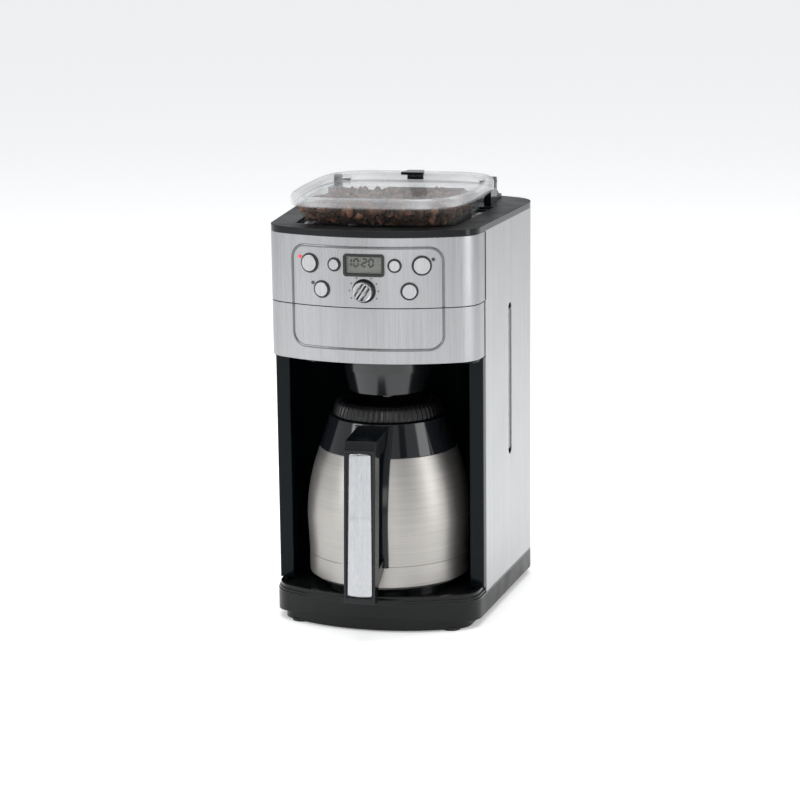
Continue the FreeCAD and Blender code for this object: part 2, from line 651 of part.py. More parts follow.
def make_controls():
    ring_out = size.ring_width + size.seat
    face = size.front_radius
    skin = meet("front_skin", shell("front_shell", 0.0, size.steel, door_top + 0.5, steel_top),
                block("front_skin_limit", -far, far, -far, seam - size.seam_gap, 0.0, far * 2))
    holes = [normal_rod(f"{name}_hole", x, row_height(row), face - 20, face + 20,
                        radius + ring_out + size.running)
             for name, x, row, radius in buttons]
    holes += [normal_rod(f"{name}_hole", x, row_height("upper") + rise, face - 20, face + 20,
                         size.lens_radius + size.running) for name, x, rise in lights]
    holes.append(normal_rod("knob_hole", 0.0, row_height("lower"), face - 20, face + 20,
                            size.knob_radius - 2))
    middle = row_height("upper")
    low = middle - size.display_height / 2
    high = middle + size.display_height / 2
    holes.append(upright("display_hole", 0.0, size.display_half, low, high, 3.0, front - 5, front + 12))
    finish("control_panel", cut("control_panel", skin, *holes))

    rings = []
    for name, x, row, radius in buttons:
        outer = normal_rod(f"{name}_ring_out", x, row_height(row), face - 3, face + 0.8, radius + ring_out)
        inner = normal_rod(f"{name}_ring_in", x, row_height(row), face - 4, face + 4, radius + size.seat)
        rings.append(cut(f"{name}_ring", outer, inner))
    finish("button_rings", group("button_rings", rings))

    board_face = front + size.board_setback
    board_away = front_axis - board_face
    switch = 1.0
    for name, x, row, radius in buttons:
        angle = math.asin(x / float(face))
        stem_low = board_away / math.cos(angle) + switch + size.button_travel + 0.4
        cap = normal_rod(f"{name}_cap", x, row_height(row), face - 3.5, face + size.button_out, radius)
        stem = normal_rod(f"{name}_stem", x, row_height(row), stem_low, face - 3.5, 2.4)
        finish(name, join(name, cap, stem))
    lenses = [normal_rod(name, x, row_height("upper") + rise, face - 6, face + 0.6, size.lens_radius)
              for name, x, rise in lights]
    finish("power_light", lenses[0])
    finish("setting_lights", group("setting_lights", lenses[1:]))

    bezel_out = upright("bezel_out", 0.0, size.display_half - size.running, low + size.running,
                        high - size.running, 3.0, front - 0.9, front + 6)
    bezel_in = upright("bezel_in", 0.0, size.display_half - size.bezel, low + size.bezel,
                       high - size.bezel, 1.0, front - 4, front + 20)
    finish("display_bezel", cut("display_bezel", bezel_out, bezel_in))
    glass_gap = size.bezel + size.seat
    finish("display_window", block("display_window", -size.display_half + glass_gap,
                                   size.display_half - glass_gap,
                                   front + 0.3, front + 1.8, low + glass_gap, high - glass_gap))
    finish("display_module", block("display_module", -size.display_half + glass_gap,
                                   size.display_half - glass_gap, front + 2.1, board_face,
                                   low + glass_gap, high - glass_gap))

    board = block("board", -size.board_half, size.board_half, board_face, board_face + 1.6,
                  door_top + 8, steel_top - 10)
    switches = [rod(f"{name}_switch", "y", (x * (board_away / face), board_face - switch, row_height(row)),
                    switch, 3.0) for name, x, row, radius in buttons]
    selector = rod("selector", "y", (0.0, board_face - 8, row_height("lower")), 8.0, 6.5)
    shaft_hole = rod("selector_bore", "y", (0.0, board_face - 9, row_height("lower")), 7.0,
                     3.0 + size.running)
    finish("control_board", cut("control_board", join("board_solid", board, selector, *switches),
                                shaft_hole))

    disc = rod("knob_disc", "y", (0.0, front - 4.5, row_height("lower")), 3.7, size.knob_radius)
    bar = block("knob_bar", -3.4, 3.4, front - size.knob_height, front - 4.5,
                row_height("lower") - size.knob_radius + 1, row_height("lower") + size.knob_radius - 1)
    rounder = rod("knob_bar_round", "y", (0.0, front - size.knob_height, row_height("lower")),
                  size.knob_height, size.knob_radius - 0.8)
    shaft = rod("knob_shaft", "y", (0.0, front - 0.8, row_height("lower")), size.board_setback - 3, 3.0)
    finish("grind_knob", join("grind_knob", disc, meet("knob_bar_cut", bar, rounder), shaft))


# ---------------------------------------------------------------- filter door

def make_door():
    hinge_x, hinge_y = hinge_spot()
    low = head_low + 0.4
    high = door_top - 0.4
    right_end = seam - size.seam_gap - size.door_right_gap
    left_end = seam - size.seam_gap - size.door_left_gap
    span = join("door_span", block("door_span_left", -far, 0.0, -far, left_end, 0.0, far * 2),
                block("door_span_right", -1.0, far, -far, right_end, 0.0, far * 2))
    finish("filter_door", meet("filter_door", shell("door_skin", 0.0, size.steel, low, high), span))

    backing = meet("door_backing", shell("door_back_skin", liner_in, liner_in + 2.5, low, high), span)
    plate_high = low + 2.5
    plate_span = join("plate_span",
                      block("plate_block", -size.door_plate_half, size.door_plate_half, -far, bay_y,
                            0.0, far * 2),
                      post("plate_disc", 0.0, bay_y, 0.0, far * 2, size.holder_radius + 9))
    plate = meet("door_plate", slab("door_plate_slab", liner_in, low, plate_high), plate_span)
    knuckle = post("knuckle", hinge_x, hinge_y, low, high, size.knuckle)
    rib = meet("knuckle_web", slab("web_slab", liner_in + 1, low, high),
               block("web_block", -far, hinge_x, hinge_y - 3, hinge_y + 3, 0.0, far * 2))
    brace = block("door_brace", -size.door_plate_half - 20, -size.door_plate_half + 2, hinge_y - 8,
                  hinge_y - 2, low,
                  plate_high)
    bore = post("knuckle_bore", hinge_x, hinge_y, 0.0, far * 2, size.hinge_pin + size.running)
    hole = post("holder_seat", 0.0, bay_y, 0.0, far * 2, size.holder_radius + size.seat)
    finish("door_inner", cut("door_inner", join("door_inner_solid", backing, plate, knuckle, rib,
                                                brace), bore, hole))

    floor = head_low - size.funnel_drop
    radius = size.holder_radius
    valve_hole = size.valve_radius + size.seat
    ledge = plate_high + 0.2
    top = door_top - size.holder_top_gap
    inside = floor + size.holder_floor
    finish("filter_holder", lathe("filter_holder", [
        (valve_hole, floor), (radius - 4.5, floor), (radius, floor + 21), (radius, ledge),
        (radius + 4, ledge), (radius + 4, ledge + 2.5), (radius + 1.2, ledge + 2.5), (radius + 1.2, top),
        (radius - 1, top), (radius - 1, ledge + 2), (radius - 2.6, floor + 22), (radius - 7, inside),
        (valve_hole, inside)], 0.0, bay_y))

    basket_floor = inside + size.spring_height + 2.8
    finish("filter_basket", lathe("filter_basket", [
        (4.0, basket_floor), (radius - 9, basket_floor), (radius - 3.2, floor + 44), (radius - 1.4,
                                                                                      top - 1.5),
        (radius - 1.4, top + 0.3), (radius + 1.2, top + 0.3), (radius + 1.2, top + 1.8), (radius - 3.2,
                                                                                          top + 1.8),
        (radius - 5, floor + 44), (radius - 10.8, basket_floor + 1.6), (4.0, basket_floor + 1.6)], 0.0,
        bay_y))
    mesh_floor = basket_floor + 1.9
    finish("mesh_filter", lathe("mesh_filter", [
        (0.0, mesh_floor), (radius - 12.6, mesh_floor), (radius - 5.6, floor + 44), (radius - 4.0,
                                                                                     top + 1.0),
        (radius - 5.0, top + 1.0), (radius - 6.6, floor + 44), (radius - 13.4, mesh_floor + 0.9),
        (0.0, mesh_floor + 0.9)], 0.0, bay_y))

    valve_low = floor - size.valve_drop
    seat_z = inside + 0.3
    finish("drip_stop_valve", lathe("drip_stop_valve", [
        (0.0, valve_low), (size.valve_radius - 1.5, valve_low), (size.valve_radius, valve_low + 1.5),
        (size.valve_radius, seat_z), (size.valve_radius + 3, seat_z), (size.valve_radius + 3, seat_z + 1.8),
        (0.0, seat_z + 1.8)], 0.0, bay_y))
    wire = size.spring_wire
    low_end = seat_z + 1.8 + wire + 0.1
    helix = new("Part::Helix", "spring_path")
    bind(helix, "Radius", size.spring_radius)
    bind(helix, "Height", size.spring_height - 2 * wire - 0.6)
    bind(helix, "Pitch", (size.spring_height - 2 * wire - 0.6) / 4)
    helix.SegmentLength = 1
    section = new("Part::Circle", "spring_section")
    bind(section, "Radius", wire)
    section.Placement.Rotation = Rotation(Vector(1, 0, 0), 90)
    bind(section, "Placement.Base.x", size.spring_radius)
    coil = new("Part::Sweep", "drip_stop_spring")
    coil.Sections = [section]
    coil.Spine = (helix, [])
    coil.Solid = True
    coil.Frenet = True
    finish("drip_stop_spring", at(coil, 0.0, bay_y, low_end))

    spray_top = door_top
    spray_low = door_top - size.shower_height
    reach = size.shower_radius
    neck = size.tube_radius + 2
    finish("shower_head", lathe("shower_head", [
        (0.0, spray_low), (reach - 2, spray_low), (reach, spray_low + 2), (reach, spray_top), (neck,
                                                                                               spray_top),
        (neck, spray_top + 7), (size.tube_radius, spray_top + 7), (size.tube_radius, spray_low + 2),
        (0.0, spray_low + 2)], 0.0, bay_y))


# ---------------------------------------------------------------- deck, hopper, reservoir

def make_deck():
    solid = slab("deck_slab", 0.0, steel_top, deck_top)
    recess = meet("deck_recess", slab("recess_slab", size.deck_rim, recess_floor, deck_top + 1),
                  block("recess_limit", -far, far, -far, recess_back, 0.0, far * 2))
    hopper_hole = pad("hopper_hole", size.hopper_half - 6, size.hopper_half - 6,
                      front + size.hopper_front + 7,
                      recess_back - 6, size.hopper_corner - 6, steel_top - 1, deck_top + 1)
    fill_hole = pad("fill_hole", size.fill_half, size.fill_half, fill_front, fill_back, 8.0,
                    steel_top - 1, deck_top + 1)
    axis_y = fill_back + 5.5
    axis_z = deck_top + 3.5
    ears = []
    for side in (-1, 1):
        low = min(side * 31.0, side * 38.0)
        ears.append(block(f"lid_ear_base_{side}", low, low + 7, axis_y - 3, axis_y + 3, deck_top - 0.5,
                          axis_z))
        ears.append(rod(f"lid_ear_{side}", "x", (low, axis_y, axis_z), 7.0, 3.2))
    pin_bore = rod("lid_pin_bore", "x", (-50.0, axis_y, axis_z), 100.0, 1.5 + size.running)
    open_deck = cut("deck_open", solid, recess, hopper_hole, fill_hole)
    finish("top_deck", cut("top_deck", join("deck_solid", open_deck, *ears), pin_bore))

    plate_low = deck_top + 0.2
    plate_high = plate_low + size.lid_plate
    plate = pad("lid_plate", size.fill_half + 5, size.fill_half + 5, fill_front - 4, fill_back + 2,
                10.0, plate_low, plate_high)
    lip = pad("lid_lip", size.fill_half - 3, size.fill_half - 3, fill_front + 3, fill_back - 3,
              6.0, deck_top - 2, plate_low)
    lugs = [rod(f"lid_lug_{side}", "x", (min(side * size.fill_half - side * 4, side * (size.fill_half + 4)),
                                         fill_front + 16, plate_low + 0.5), 8.0, size.lug_radius)
            for side in (-1, 1)]
    under = block("lug_trim", -far, far, 0.0, far, deck_top - 40, plate_low)
    hub = rod("lid_hub", "x", (-30.0, axis_y, axis_z), 60.0, 3.2)
    arm = block("lid_arm", -30.0, 30.0, fill_back, axis_y, plate_low, axis_z)
    trimmed = cut("lugs_trimmed", join("lugs", *lugs), under)
    bored = cut("lid_bored", join("lid_solid", plate, trimmed, hub, arm), pin_bore)
    finish("reservoir_lid", join("reservoir_lid", bored, lip))
    finish("reservoir_hinge_pin", rod("reservoir_hinge_pin", "x", (-37.0, axis_y, axis_z), 74.0, 1.5))


def make_tank():
    top = steel_top - size.seat
    behind = block("tank_limit", -far, far, tank_front, far, 0.0, far * 2)
    inner_behind = block("tank_inner_limit", -far, far, tank_front + 2, far, 0.0, far * 2)
    outer = meet("tank_outer", slab("tank_slab", size.tank_inset, size.tank_floor, top), behind)
    inner = meet("tank_inner", slab("tank_room_slab", size.tank_inset + 2, size.tank_floor + 2, top + 1),
                 inner_behind)
    outlet_y = tank_front + 26
    outlet = post("tank_outlet_hole", -size.heater_half + 15, outlet_y, 0.0, size.tank_floor + 10,
                  size.tube_radius)
    tube_x = gauge_x
    levels = (size.gauge_low + 6, size.gauge_high - 6)
    ports = [rod(f"gauge_port_{i}", "y", (tube_x - 10, tank_front - 1, z), 6.0, 2.0)
             for i, z in enumerate(levels)]
    finish("reservoir_tank", cut("reservoir_tank", outer, inner, outlet, *ports))
    window = block("gauge_window_block", tube_x + 5, tube_x + 7.4, gauge_y - size.gauge_half + size.seat,
                   gauge_y + size.gauge_half - size.seat, size.gauge_low + size.gauge_half,
                   size.gauge_high - size.gauge_half)
    flange = block("gauge_flange", tube_x + 3, tube_x + 5.5, gauge_y - 8, gauge_y + 8, size.gauge_low - 4,
                   size.gauge_high + 4)
    column = post("gauge_column", tube_x, gauge_y, size.gauge_low, size.gauge_high, 3.5)
    arms = []
    for i, z in enumerate(levels):
        arms.append(rod(f"gauge_arm_{i}", "x", (tube_x - 10, gauge_y, z), 10.0, 2.0))
        arms.append(rod(f"gauge_link_{i}", "y", (tube_x - 10, gauge_y - 2.5, z),
                        tank_front - gauge_y + 2.5, 2.5))
    finish("water_gauge", join("water_gauge", window, flange, column, *arms))

    bottom = size.base_top
    heater = block("heater_block", -size.heater_half, size.heater_half, outlet_y - 12, outlet_y + 12,
                   bottom,
                   bottom + size.heater_height)
    finish("heater", heater)
    valve_x = -size.heater_half + 15
    tank_low = size.tank_floor
    valve = join("check_valve_solid", post("check_valve_body", valve_x, outlet_y, tank_low - 16,
                                           tank_low, 8.0),
                 post("check_valve_spigot", valve_x, outlet_y, tank_low, tank_low + 6,
                      size.tube_radius - size.running))
    finish("check_valve", valve)
    inlet = post("inlet_tube", valve_x, outlet_y, bottom + size.heater_height, tank_low - 16,
                 size.tube_radius)
    over = shelf_top + 9
    riser = [(size.riser_x, outlet_y, bottom + size.heater_height), (size.riser_x, outlet_y, 80),
             (size.riser_x, riser_y, 80), (size.riser_x, riser_y, over), (size.riser_x, bay_y, over),
             (0, bay_y, over), (0, bay_y, door_top - size.shower_height + 2.5)]
    finish("water_tubes", group("water_tubes", [inlet, pipe("riser_tube", riser,
                                                            size.tube_radius - 3 * size.running, 7.0)]))


def make_grinder():
    y = grinder_y
    chamber_low = shelf_top
    chamber_top = shelf_top + size.chamber_height
    radius = size.grinder_radius
    housing = cut("housing_hollow", post("housing", 0.0, y, chamber_low, chamber_top, radius),
                  post("housing_room", 0.0, y, chamber_low + 3, chamber_top + 1, radius - 2.5),
                  post("housing_hole", 0.0, y, chamber_low - 1, chamber_low + 4, size.spindle + size.seat))
    duct = block("duct", -14.0, 14.0, web_y - 19, y - radius + 4, chamber_low, chamber_low + 18)
    drop = block("duct_drop", -14.0, 14.0, web_y - 19, web_y - 4, door_top - 7, chamber_low + 1)
    duct_room = block("duct_room", -12.0, 12.0, web_y - 17, y - radius + 8, chamber_low + 3,
                      chamber_low + 16)
    drop_room = block("drop_room", -12.0, 12.0, web_y - 17, web_y - 6, door_top - 8, chamber_low + 4)
    whole = join("housing_and_duct", cut("duct_outside", join("ducts", duct, drop),
                                         post("housing_clear", 0.0, y, 0.0, far * 2, radius - 1)), housing)
    finish("grinder_housing", cut("grinder_housing", whole, duct_room, drop_room))
    motor_top = door_top - 0.2
    motor_low = motor_top - size.motor_length
    case = join("motor_solid", post("motor_case", 0.0, y, motor_low, motor_top, size.motor_radius),
                post("motor_cap", 0.0, y, motor_low - 3, motor_low, 9.0))
    finish("grinder_motor", cut("grinder_motor", case, post("motor_bore", 0.0, y, motor_low + 10,
                                                            motor_top + 1,
                                                            size.spindle + size.running)))
    burr_low = chamber_low + 5
    finish("lower_burr", lathe("lower_burr", [
        (0.0, motor_low + 12), (size.spindle, motor_low + 12), (size.spindle, burr_low), (radius - 4.5,
                                                                                          burr_low),
        (radius - 4.5, burr_low + 3), (radius - 14, burr_low + 12), (6.0, burr_low + 17), (0.0,
                                                                                           burr_low + 17)],
        0.0, y))
    finish("upper_burr", lathe("upper_burr", [
        (radius - 3.0, burr_low + 4.4), (radius - 3.0, chamber_top - 1), (radius - 8, chamber_top - 1),
        (radius - 12.0, burr_low + 12.6)], 0.0, y))


def make_hopper():
    wall = size.thin_wall
    y_front = front + size.hopper_front
    y_back = recess_back - 1
    half = size.hopper_half
    corner = size.hopper_corner
    rim = recess_floor + size.hopper_height
    rim_front = y_front - size.hopper_lean
    rim_back = y_back + 2
    rim_low_half = half + size.hopper_flare
    rim_high_half = half + size.hopper_flare + 12
    outer = taper("hopper_outer",
                  at(rounded_outline("hopper_foot", half, half + 6, y_front, y_back, corner), 0, 0,
                     recess_floor),
                  at(rounded_outline("hopper_rim", rim_low_half, rim_high_half, rim_front, rim_back,
                                     corner + 6),
                     0, 0, rim))
    inner = taper("hopper_inner",
                  at(rounded_outline("hopper_foot_in", half - wall, half + 6 - wall, y_front + wall,
                                     y_back - wall,
                                     corner - wall), 0, 0, recess_floor + wall),
                  at(rounded_outline("hopper_rim_in", rim_low_half - wall, rim_high_half - wall,
                                     rim_front + wall, rim_back - wall, corner + 6 - wall), 0, 0,
                                     rim + 0.5))
    # The funnel drops through the deck to the grinder.
    mouth_half = half - 8
    mouth = (y_front + 9, y_back - 8)
    throat = size.throat_radius
    throat_y = grinder_y
    throat_top = shelf_top + size.chamber_height + 6
    funnel = taper("funnel_outer",
                   at(rounded_outline("funnel_foot", throat, throat, throat_y - throat, throat_y + throat,
                                      throat - 0.5), 0, 0, throat_top),
                   at(rounded_outline("funnel_mouth", mouth_half, mouth_half, mouth[0], mouth[1],
                                      corner - 8),
                      0, 0, recess_floor))
    funnel_room = taper("funnel_inner",
                        at(rounded_outline("funnel_foot_in", throat - wall, throat - wall,
                                           throat_y - throat + wall,
                                           throat_y + throat - wall, throat - wall - 0.5), 0, 0,
                                           throat_top),
                        at(rounded_outline("funnel_mouth_in", mouth_half - wall, mouth_half - wall,
                                           mouth[0] + wall,
                                           mouth[1] - wall, corner - 8 - wall), 0, 0, recess_floor + wall))
    neck = post("hopper_neck", 0.0, throat_y, shelf_top + size.chamber_height, throat_top + 0.5,
                throat - 0.5)
    neck_room = post("hopper_neck_room", 0.0, throat_y, shelf_top, throat_top + 1, throat - wall - 0.5)
    finish("hopper", cut("hopper", join("hopper_solid", outer, funnel, neck), inner, funnel_room,
                         neck_room))

    low = rim + size.seat
    high = low + size.hopper_lid_height
    over = size.lid_overhang
    front_half = rim_low_half + over - 1.5
    back_half = rim_high_half + over + 1
    edge_front = rim_front - over - 1

    def lid_pad(name, inset, z_low, z_high):
        return pad(name, front_half - inset, back_half - inset, edge_front + inset, lid_back - inset,
                   size.lid_corner - inset, z_low, z_high)

    axis_y = lid_back - 1
    axis_z = low + 3.6
    lugs = [rod(f"lid_arm_{side}", "x", (min(side * 50.0, side * (size.post_half - 4)), axis_y, axis_z),
                size.post_half - 54, size.ear_radius - 1.4) for side in (-1, 1)]
    lid = join("hopper_lid_solid", cut("lid_dished", lid_pad("lid_block", 0.0, low, high),
                                       lid_pad("lid_dish", size.lid_rim, high - 5, high + 1),
                                       lid_pad("lid_under", size.thin_wall, low - 1, low + 2.2)), *lugs)
    pin_bore = rod("hopper_pin_bore", "x", (-far, axis_y, axis_z), far * 2, 1.6 + size.running)
    bore_span = [block(f"bore_span_{side}", min(side * 64.0, side * 90.0), max(side * 64.0,
                                                                               side * 90.0), axis_y - 9,
                       axis_y + 9, low - 9, high + 9) for side in (-1, 1)]
    finish("hopper_lid", cut("hopper_lid", lid, meet("lid_bores", pin_bore, join("bore_spans",
                                                                                 *bore_span))))
    tab_low = high - size.seat + 0.6
    tab = pad("tab_plate", 12.0, 8.0, lid_back - 14, lid_back + 7, 2.0, tab_low, tab_low + 2.6)
    hook = block("tab_hook", -8.0, 8.0, lid_back + 0.4, lid_back + 3, high - 6, tab_low + 0.5)
    finish("hopper_lid_tab", join("hopper_lid_tab", tab, hook))

    posts = []
    pins = []
    for side in (-1, 1):
        inner_x = size.post_half - 3.5
        x_low = min(side * inner_x, side * (inner_x + 7))
        column = block(f"post_column_{side}", x_low, x_low + 7, recess_back + 3, axis_y + 4, deck_top,
                       rim - 1.5)
        ear = rod(f"post_ear_{side}", "x", (x_low, axis_y + 0.5, axis_z), 7.0, size.ear_radius)
        riser = block(f"post_riser_{side}", x_low, x_low + 7, axis_y - 4, axis_y + 4, rim - 3, axis_z)
        posts.append(cut(f"post_{side}", join(f"post_solid_{side}", column, ear, riser),
                         rod(f"post_bore_{side}", "x", (-far, axis_y, axis_z), far * 2,
                             1.6 + size.running)))
        pins.append(rod(f"hopper_pin_{side}", "x", (min(side * 66.0, side * (inner_x + 6)), axis_y, axis_z),
                        inner_x + 6 - 66, 1.6))
    finish("hopper_posts", group("hopper_posts", posts))
    finish("hopper_hinge_pins", group("hopper_hinge_pins", pins))


# ---------------------------------------------------------------- carafe

def make_carafe():
    foot = tray_floor + size.rest_rise + size.carafe_lift
    foot_radius = carafe_foot
    lid_top = head_low - size.funnel_drop - size.lid_gap
    collar_top = lid_top - size.carafe_lid_height
    collar_low = collar_top - size.collar_height
    belly = collar_low - size.shoulder_height
    bow = size.shoulder_radius
    collar_radius = widest - bow + (bow * bow - size.shoulder_height * size.shoulder_height).root()
    metal = size.carafe_wall
    cup_top = foot + size.cup_height

    finish("carafe_cup", lathe("carafe_cup", [
        (0.0, foot), (foot_radius - 4, foot), (foot_radius, foot + 3), (foot_radius, cup_top),
        (foot_radius - metal, cup_top), (foot_radius - metal, foot + 4), (foot_radius - 5, foot + metal),
        (0.0, foot + metal)], 0.0, bay_y))
    finish("carafe_body", lathe("carafe_body", [
        (foot_radius, cup_top + size.seat), (widest, belly), (collar_radius, collar_low, bow),
        (collar_radius - metal, collar_low), (widest - metal, belly, metal - bow),
        (foot_radius - metal, cup_top + size.seat)], 0.0, bay_y))
    neck = size.neck_radius
    gap = size.jacket_gap
    finish("carafe_liner", lathe("carafe_liner", [
        (0.0, foot + gap), (foot_radius - gap - 8, foot + gap), (foot_radius - gap, foot + gap + 10),
        (widest - gap - 1, belly), (collar_radius - gap - 6, collar_low - 6), (neck, collar_top - 14),
        (neck, collar_top - 1), (neck - metal, collar_top - 1), (neck - metal, collar_top - 15),
        (collar_radius - gap - 8, collar_low - 7), (widest - gap - 1 - metal, belly),
        (foot_radius - gap - metal, foot + gap + 11), (foot_radius - gap - 9, foot + gap + metal),
        (0.0, foot + gap + metal)], 0.0, bay_y))
    top_radius = widest - size.collar_top_in
    ring = lathe("collar_ring", [
        (collar_radius + 0.2, collar_low + size.seat), (top_radius, collar_top), (neck + size.seat,
                                                                                  collar_top),
        (neck + size.seat, collar_top - 12), (collar_radius - 5, collar_low + size.seat)], 0.0, bay_y)
    spout = cut("spout", post("spout_solid", 0.0, bay_y + top_radius - 12, collar_top - 12, collar_top,
                              14.0),
                post("spout_neck", 0.0, bay_y, collar_low, collar_top + 1, neck + size.seat))
    finish("carafe_collar", join("carafe_collar", ring, spout))
    lid_low = collar_top + size.seat
    lid_radius = top_radius - size.lid_edge_in
    finish("carafe_lid", lathe("carafe_lid", [
        (8.0, collar_top - 12), (neck - metal - 0.4, collar_top - 12), (neck - metal - 0.4, lid_low),
        (lid_radius, lid_low), (lid_radius, lid_low + 6), (lid_radius - 8, lid_top - 2.5),
        (lid_radius - 12, lid_top),
        (22.0, lid_top), (8.0, lid_top - 6)], 0.0, bay_y))

    # The handle: a strap on the jacket, a bridge at the foot and a grip that leans out.
    strap_low = cup_top + size.seat
    strap_shell = lathe("strap_shell", [
        (foot_radius + 0.4, strap_low), (foot_radius + size.strap_depth, strap_low),
        (widest + size.strap_depth, belly), (collar_radius + size.strap_depth, collar_low,
                                             bow + size.strap_depth),
        (top_radius + size.strap_depth, collar_top - 1), (top_radius + 0.5, collar_top - 1),
        (collar_radius + 0.6, collar_low), (widest + 0.4, belly, -0.4 - bow)], 0.0, bay_y)
    strap = meet("strap", strap_shell, block("strap_limit", -size.strap_half, size.strap_half, -far,
                                             bay_y, 0.0, far))
    wall_y = bay_y - foot_radius
    grip_foot = wall_y - size.grip_reach
    grip_top_front = grip_foot + size.grip_lean
    depth = size.grip_depth
    collar_slope = (collar_radius - top_radius) / size.collar_height
    half = size.grip_width / 2
    foot_z = foot - 1
    grip_top = collar_top - 6
    outline = [(grip_foot, foot_z), (grip_foot + depth, foot_z), (grip_foot + depth, foot_z + 14),
               (wall_y - size.strap_depth + 1, strap_low + 1), (wall_y - size.strap_depth + 1,
                                                                strap_low + 10),
               (grip_foot + depth + 1.5, foot_z + 30), (grip_top_front + depth, grip_top - 17),
               (bay_y - top_radius - 2 - 15 * collar_slope, collar_top - 15),
               (bay_y - top_radius - 2 - collar_slope, collar_top - 1),
               (grip_top_front + 6, grip_top + 1), (grip_top_front, grip_top - 6)]
    sketch = new("Sketcher::SketchObject", "grip_outline")
    sketch.Placement.Rotation = Rotation(Vector(1, 1, 1), 120)
    for index, point in enumerate(outline):
        following = outline[(index + 1) % len(outline)]
        sketch.addGeometry(line([float(v) for v in point], [float(v) for v in following]), False)
    for index, point in enumerate(outline):
        sketch.addConstraint(Sketcher.Constraint("Coincident", index, 2, (index + 1) % len(outline), 1))
        named(sketch, Sketcher.Constraint("DistanceX", -1, 1, index, 1, float(point[0])),
              f"reach_{index}", point[0])
        named(sketch, Sketcher.Constraint("DistanceY", -1, 1, index, 1, float(point[1])),
              f"height_{index}", point[1])
    bind(sketch, "Placement.Base.x", -half)
    grip = prism("grip", sketch, size.grip_width)

    # The steel inlay lies in a pocket along the front of the grip.
    inlay_half = size.inlay_width / 2
    inlay_low = foot_z + 6
    inlay_high = grip_top - 9
    lean = math.degrees(math.atan2(float(size.grip_lean), float(grip_top - 6 - foot_z)))
    length = (inlay_high - inlay_low) / math.cos(math.radians(lean))
    start_y = grip_foot + (inlay_low - foot_z) * math.tan(math.radians(lean))
    inlay = block("inlay", -inlay_half, inlay_half, start_y, start_y + size.inlay_depth, inlay_low,
                  inlay_low + length)
    pocket = block("inlay_pocket", -inlay_half - size.seat, inlay_half + size.seat, start_y - 4,
                   start_y + size.inlay_depth, inlay_low - size.seat, inlay_low + length + size.seat)
    for piece in (inlay, pocket):
        piece.Placement.Rotation = Rotation(Vector(1, 0, 0), -lean)
    finish("handle_inlay", inlay)
    finish("carafe_handle", cut("carafe_handle", join("handle_solid", strap, grip), pocket))


make_base()
make_liner()
make_panels()
make_chassis()
make_controls()
make_door()
make_deck()
make_tank()
make_grinder()
make_hopper()
make_carafe()
doc.recompute()

faults = [item.Name for item in doc.Objects if {"Invalid", "Error"} & set(item.State)]
faults += [label for label, item in finished.items() if item.Shape.isNull() or not item.Shape.isValid()]
if faults:
    raise RuntimeError("not built: " + ", ".join(faults))

os.makedirs("parts", exist_ok=True)
for label, item in finished.items():
    solids = len(item.Shape.Solids)
    print(f"{label}: {solids} solid(s), {item.Shape.Volume / 1000:.1f} cm3")
    item.Shape.exportStep(f"parts/{label}.step")
print(len(finished), "sub-parts")
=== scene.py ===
import math

import bpy
import numpy as np
from mathutils import Matrix, Quaternion, Vector


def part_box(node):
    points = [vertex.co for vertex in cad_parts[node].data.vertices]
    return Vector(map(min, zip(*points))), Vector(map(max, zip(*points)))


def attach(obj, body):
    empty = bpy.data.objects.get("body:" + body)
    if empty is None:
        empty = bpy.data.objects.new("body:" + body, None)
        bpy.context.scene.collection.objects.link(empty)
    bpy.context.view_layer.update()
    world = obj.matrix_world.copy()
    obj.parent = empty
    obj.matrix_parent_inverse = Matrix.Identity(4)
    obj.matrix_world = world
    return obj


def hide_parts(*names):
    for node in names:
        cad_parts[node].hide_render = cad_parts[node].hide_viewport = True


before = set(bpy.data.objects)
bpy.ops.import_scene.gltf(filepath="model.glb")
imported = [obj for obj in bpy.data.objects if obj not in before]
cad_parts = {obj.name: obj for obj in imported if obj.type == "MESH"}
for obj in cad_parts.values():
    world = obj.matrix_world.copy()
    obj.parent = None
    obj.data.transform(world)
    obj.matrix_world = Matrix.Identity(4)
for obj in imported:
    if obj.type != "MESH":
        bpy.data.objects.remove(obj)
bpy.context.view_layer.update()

# ---- The room ---------------------------------------------------------------------------------
# A wide white floor that runs out past the view, and four soft boxes: one overhead, one at the
# left front, one long strip at the right and a low one that lifts the front of the base.


def finish(name, values):
    """A new material, its node tree and its shader, with the shader's plain sockets set."""
    made = bpy.data.materials.new(name)
    made.use_nodes = True
    shader = made.node_tree.nodes["Principled BSDF"]
    for socket, value in values.items():
        shader.inputs[socket].default_value = value
    return made, made.node_tree, shader


FLOOR_HALF = 40.0
FLOOR_GLOW = 0.26
floor_mesh = bpy.data.meshes.new("studio_floor")
floor_corners = [(x, y, 0.0) for x, y in ((-1, -1), (1, -1), (1, 1), (-1, 1))]
floor_mesh.from_pydata(floor_corners, [], [(0, 1, 2, 3)])
floor_mesh.transform(Matrix.Scale(FLOOR_HALF, 4))
floor = bpy.data.objects.new("studio_floor", floor_mesh)
bpy.context.scene.collection.objects.link(floor)
paper = finish("white_paper", {
    "Base Color": (0.93, 0.93, 0.93, 1.0),
    "Roughness": 0.9,
    "Emission Color": (1.0, 1.0, 1.0, 1.0),
    "Emission Strength": FLOOR_GLOW,
})[0]
floor_mesh.materials.append(paper)

world = bpy.data.worlds.new("studio")
bpy.context.scene.world = world
world.use_nodes = True
background = world.node_tree.nodes["Background"]
background.inputs["Color"].default_value = (0.97, 0.985, 1.0, 1.0)
background.inputs["Strength"].default_value = 0.66
bpy.context.scene.view_settings.view_transform = "Standard"

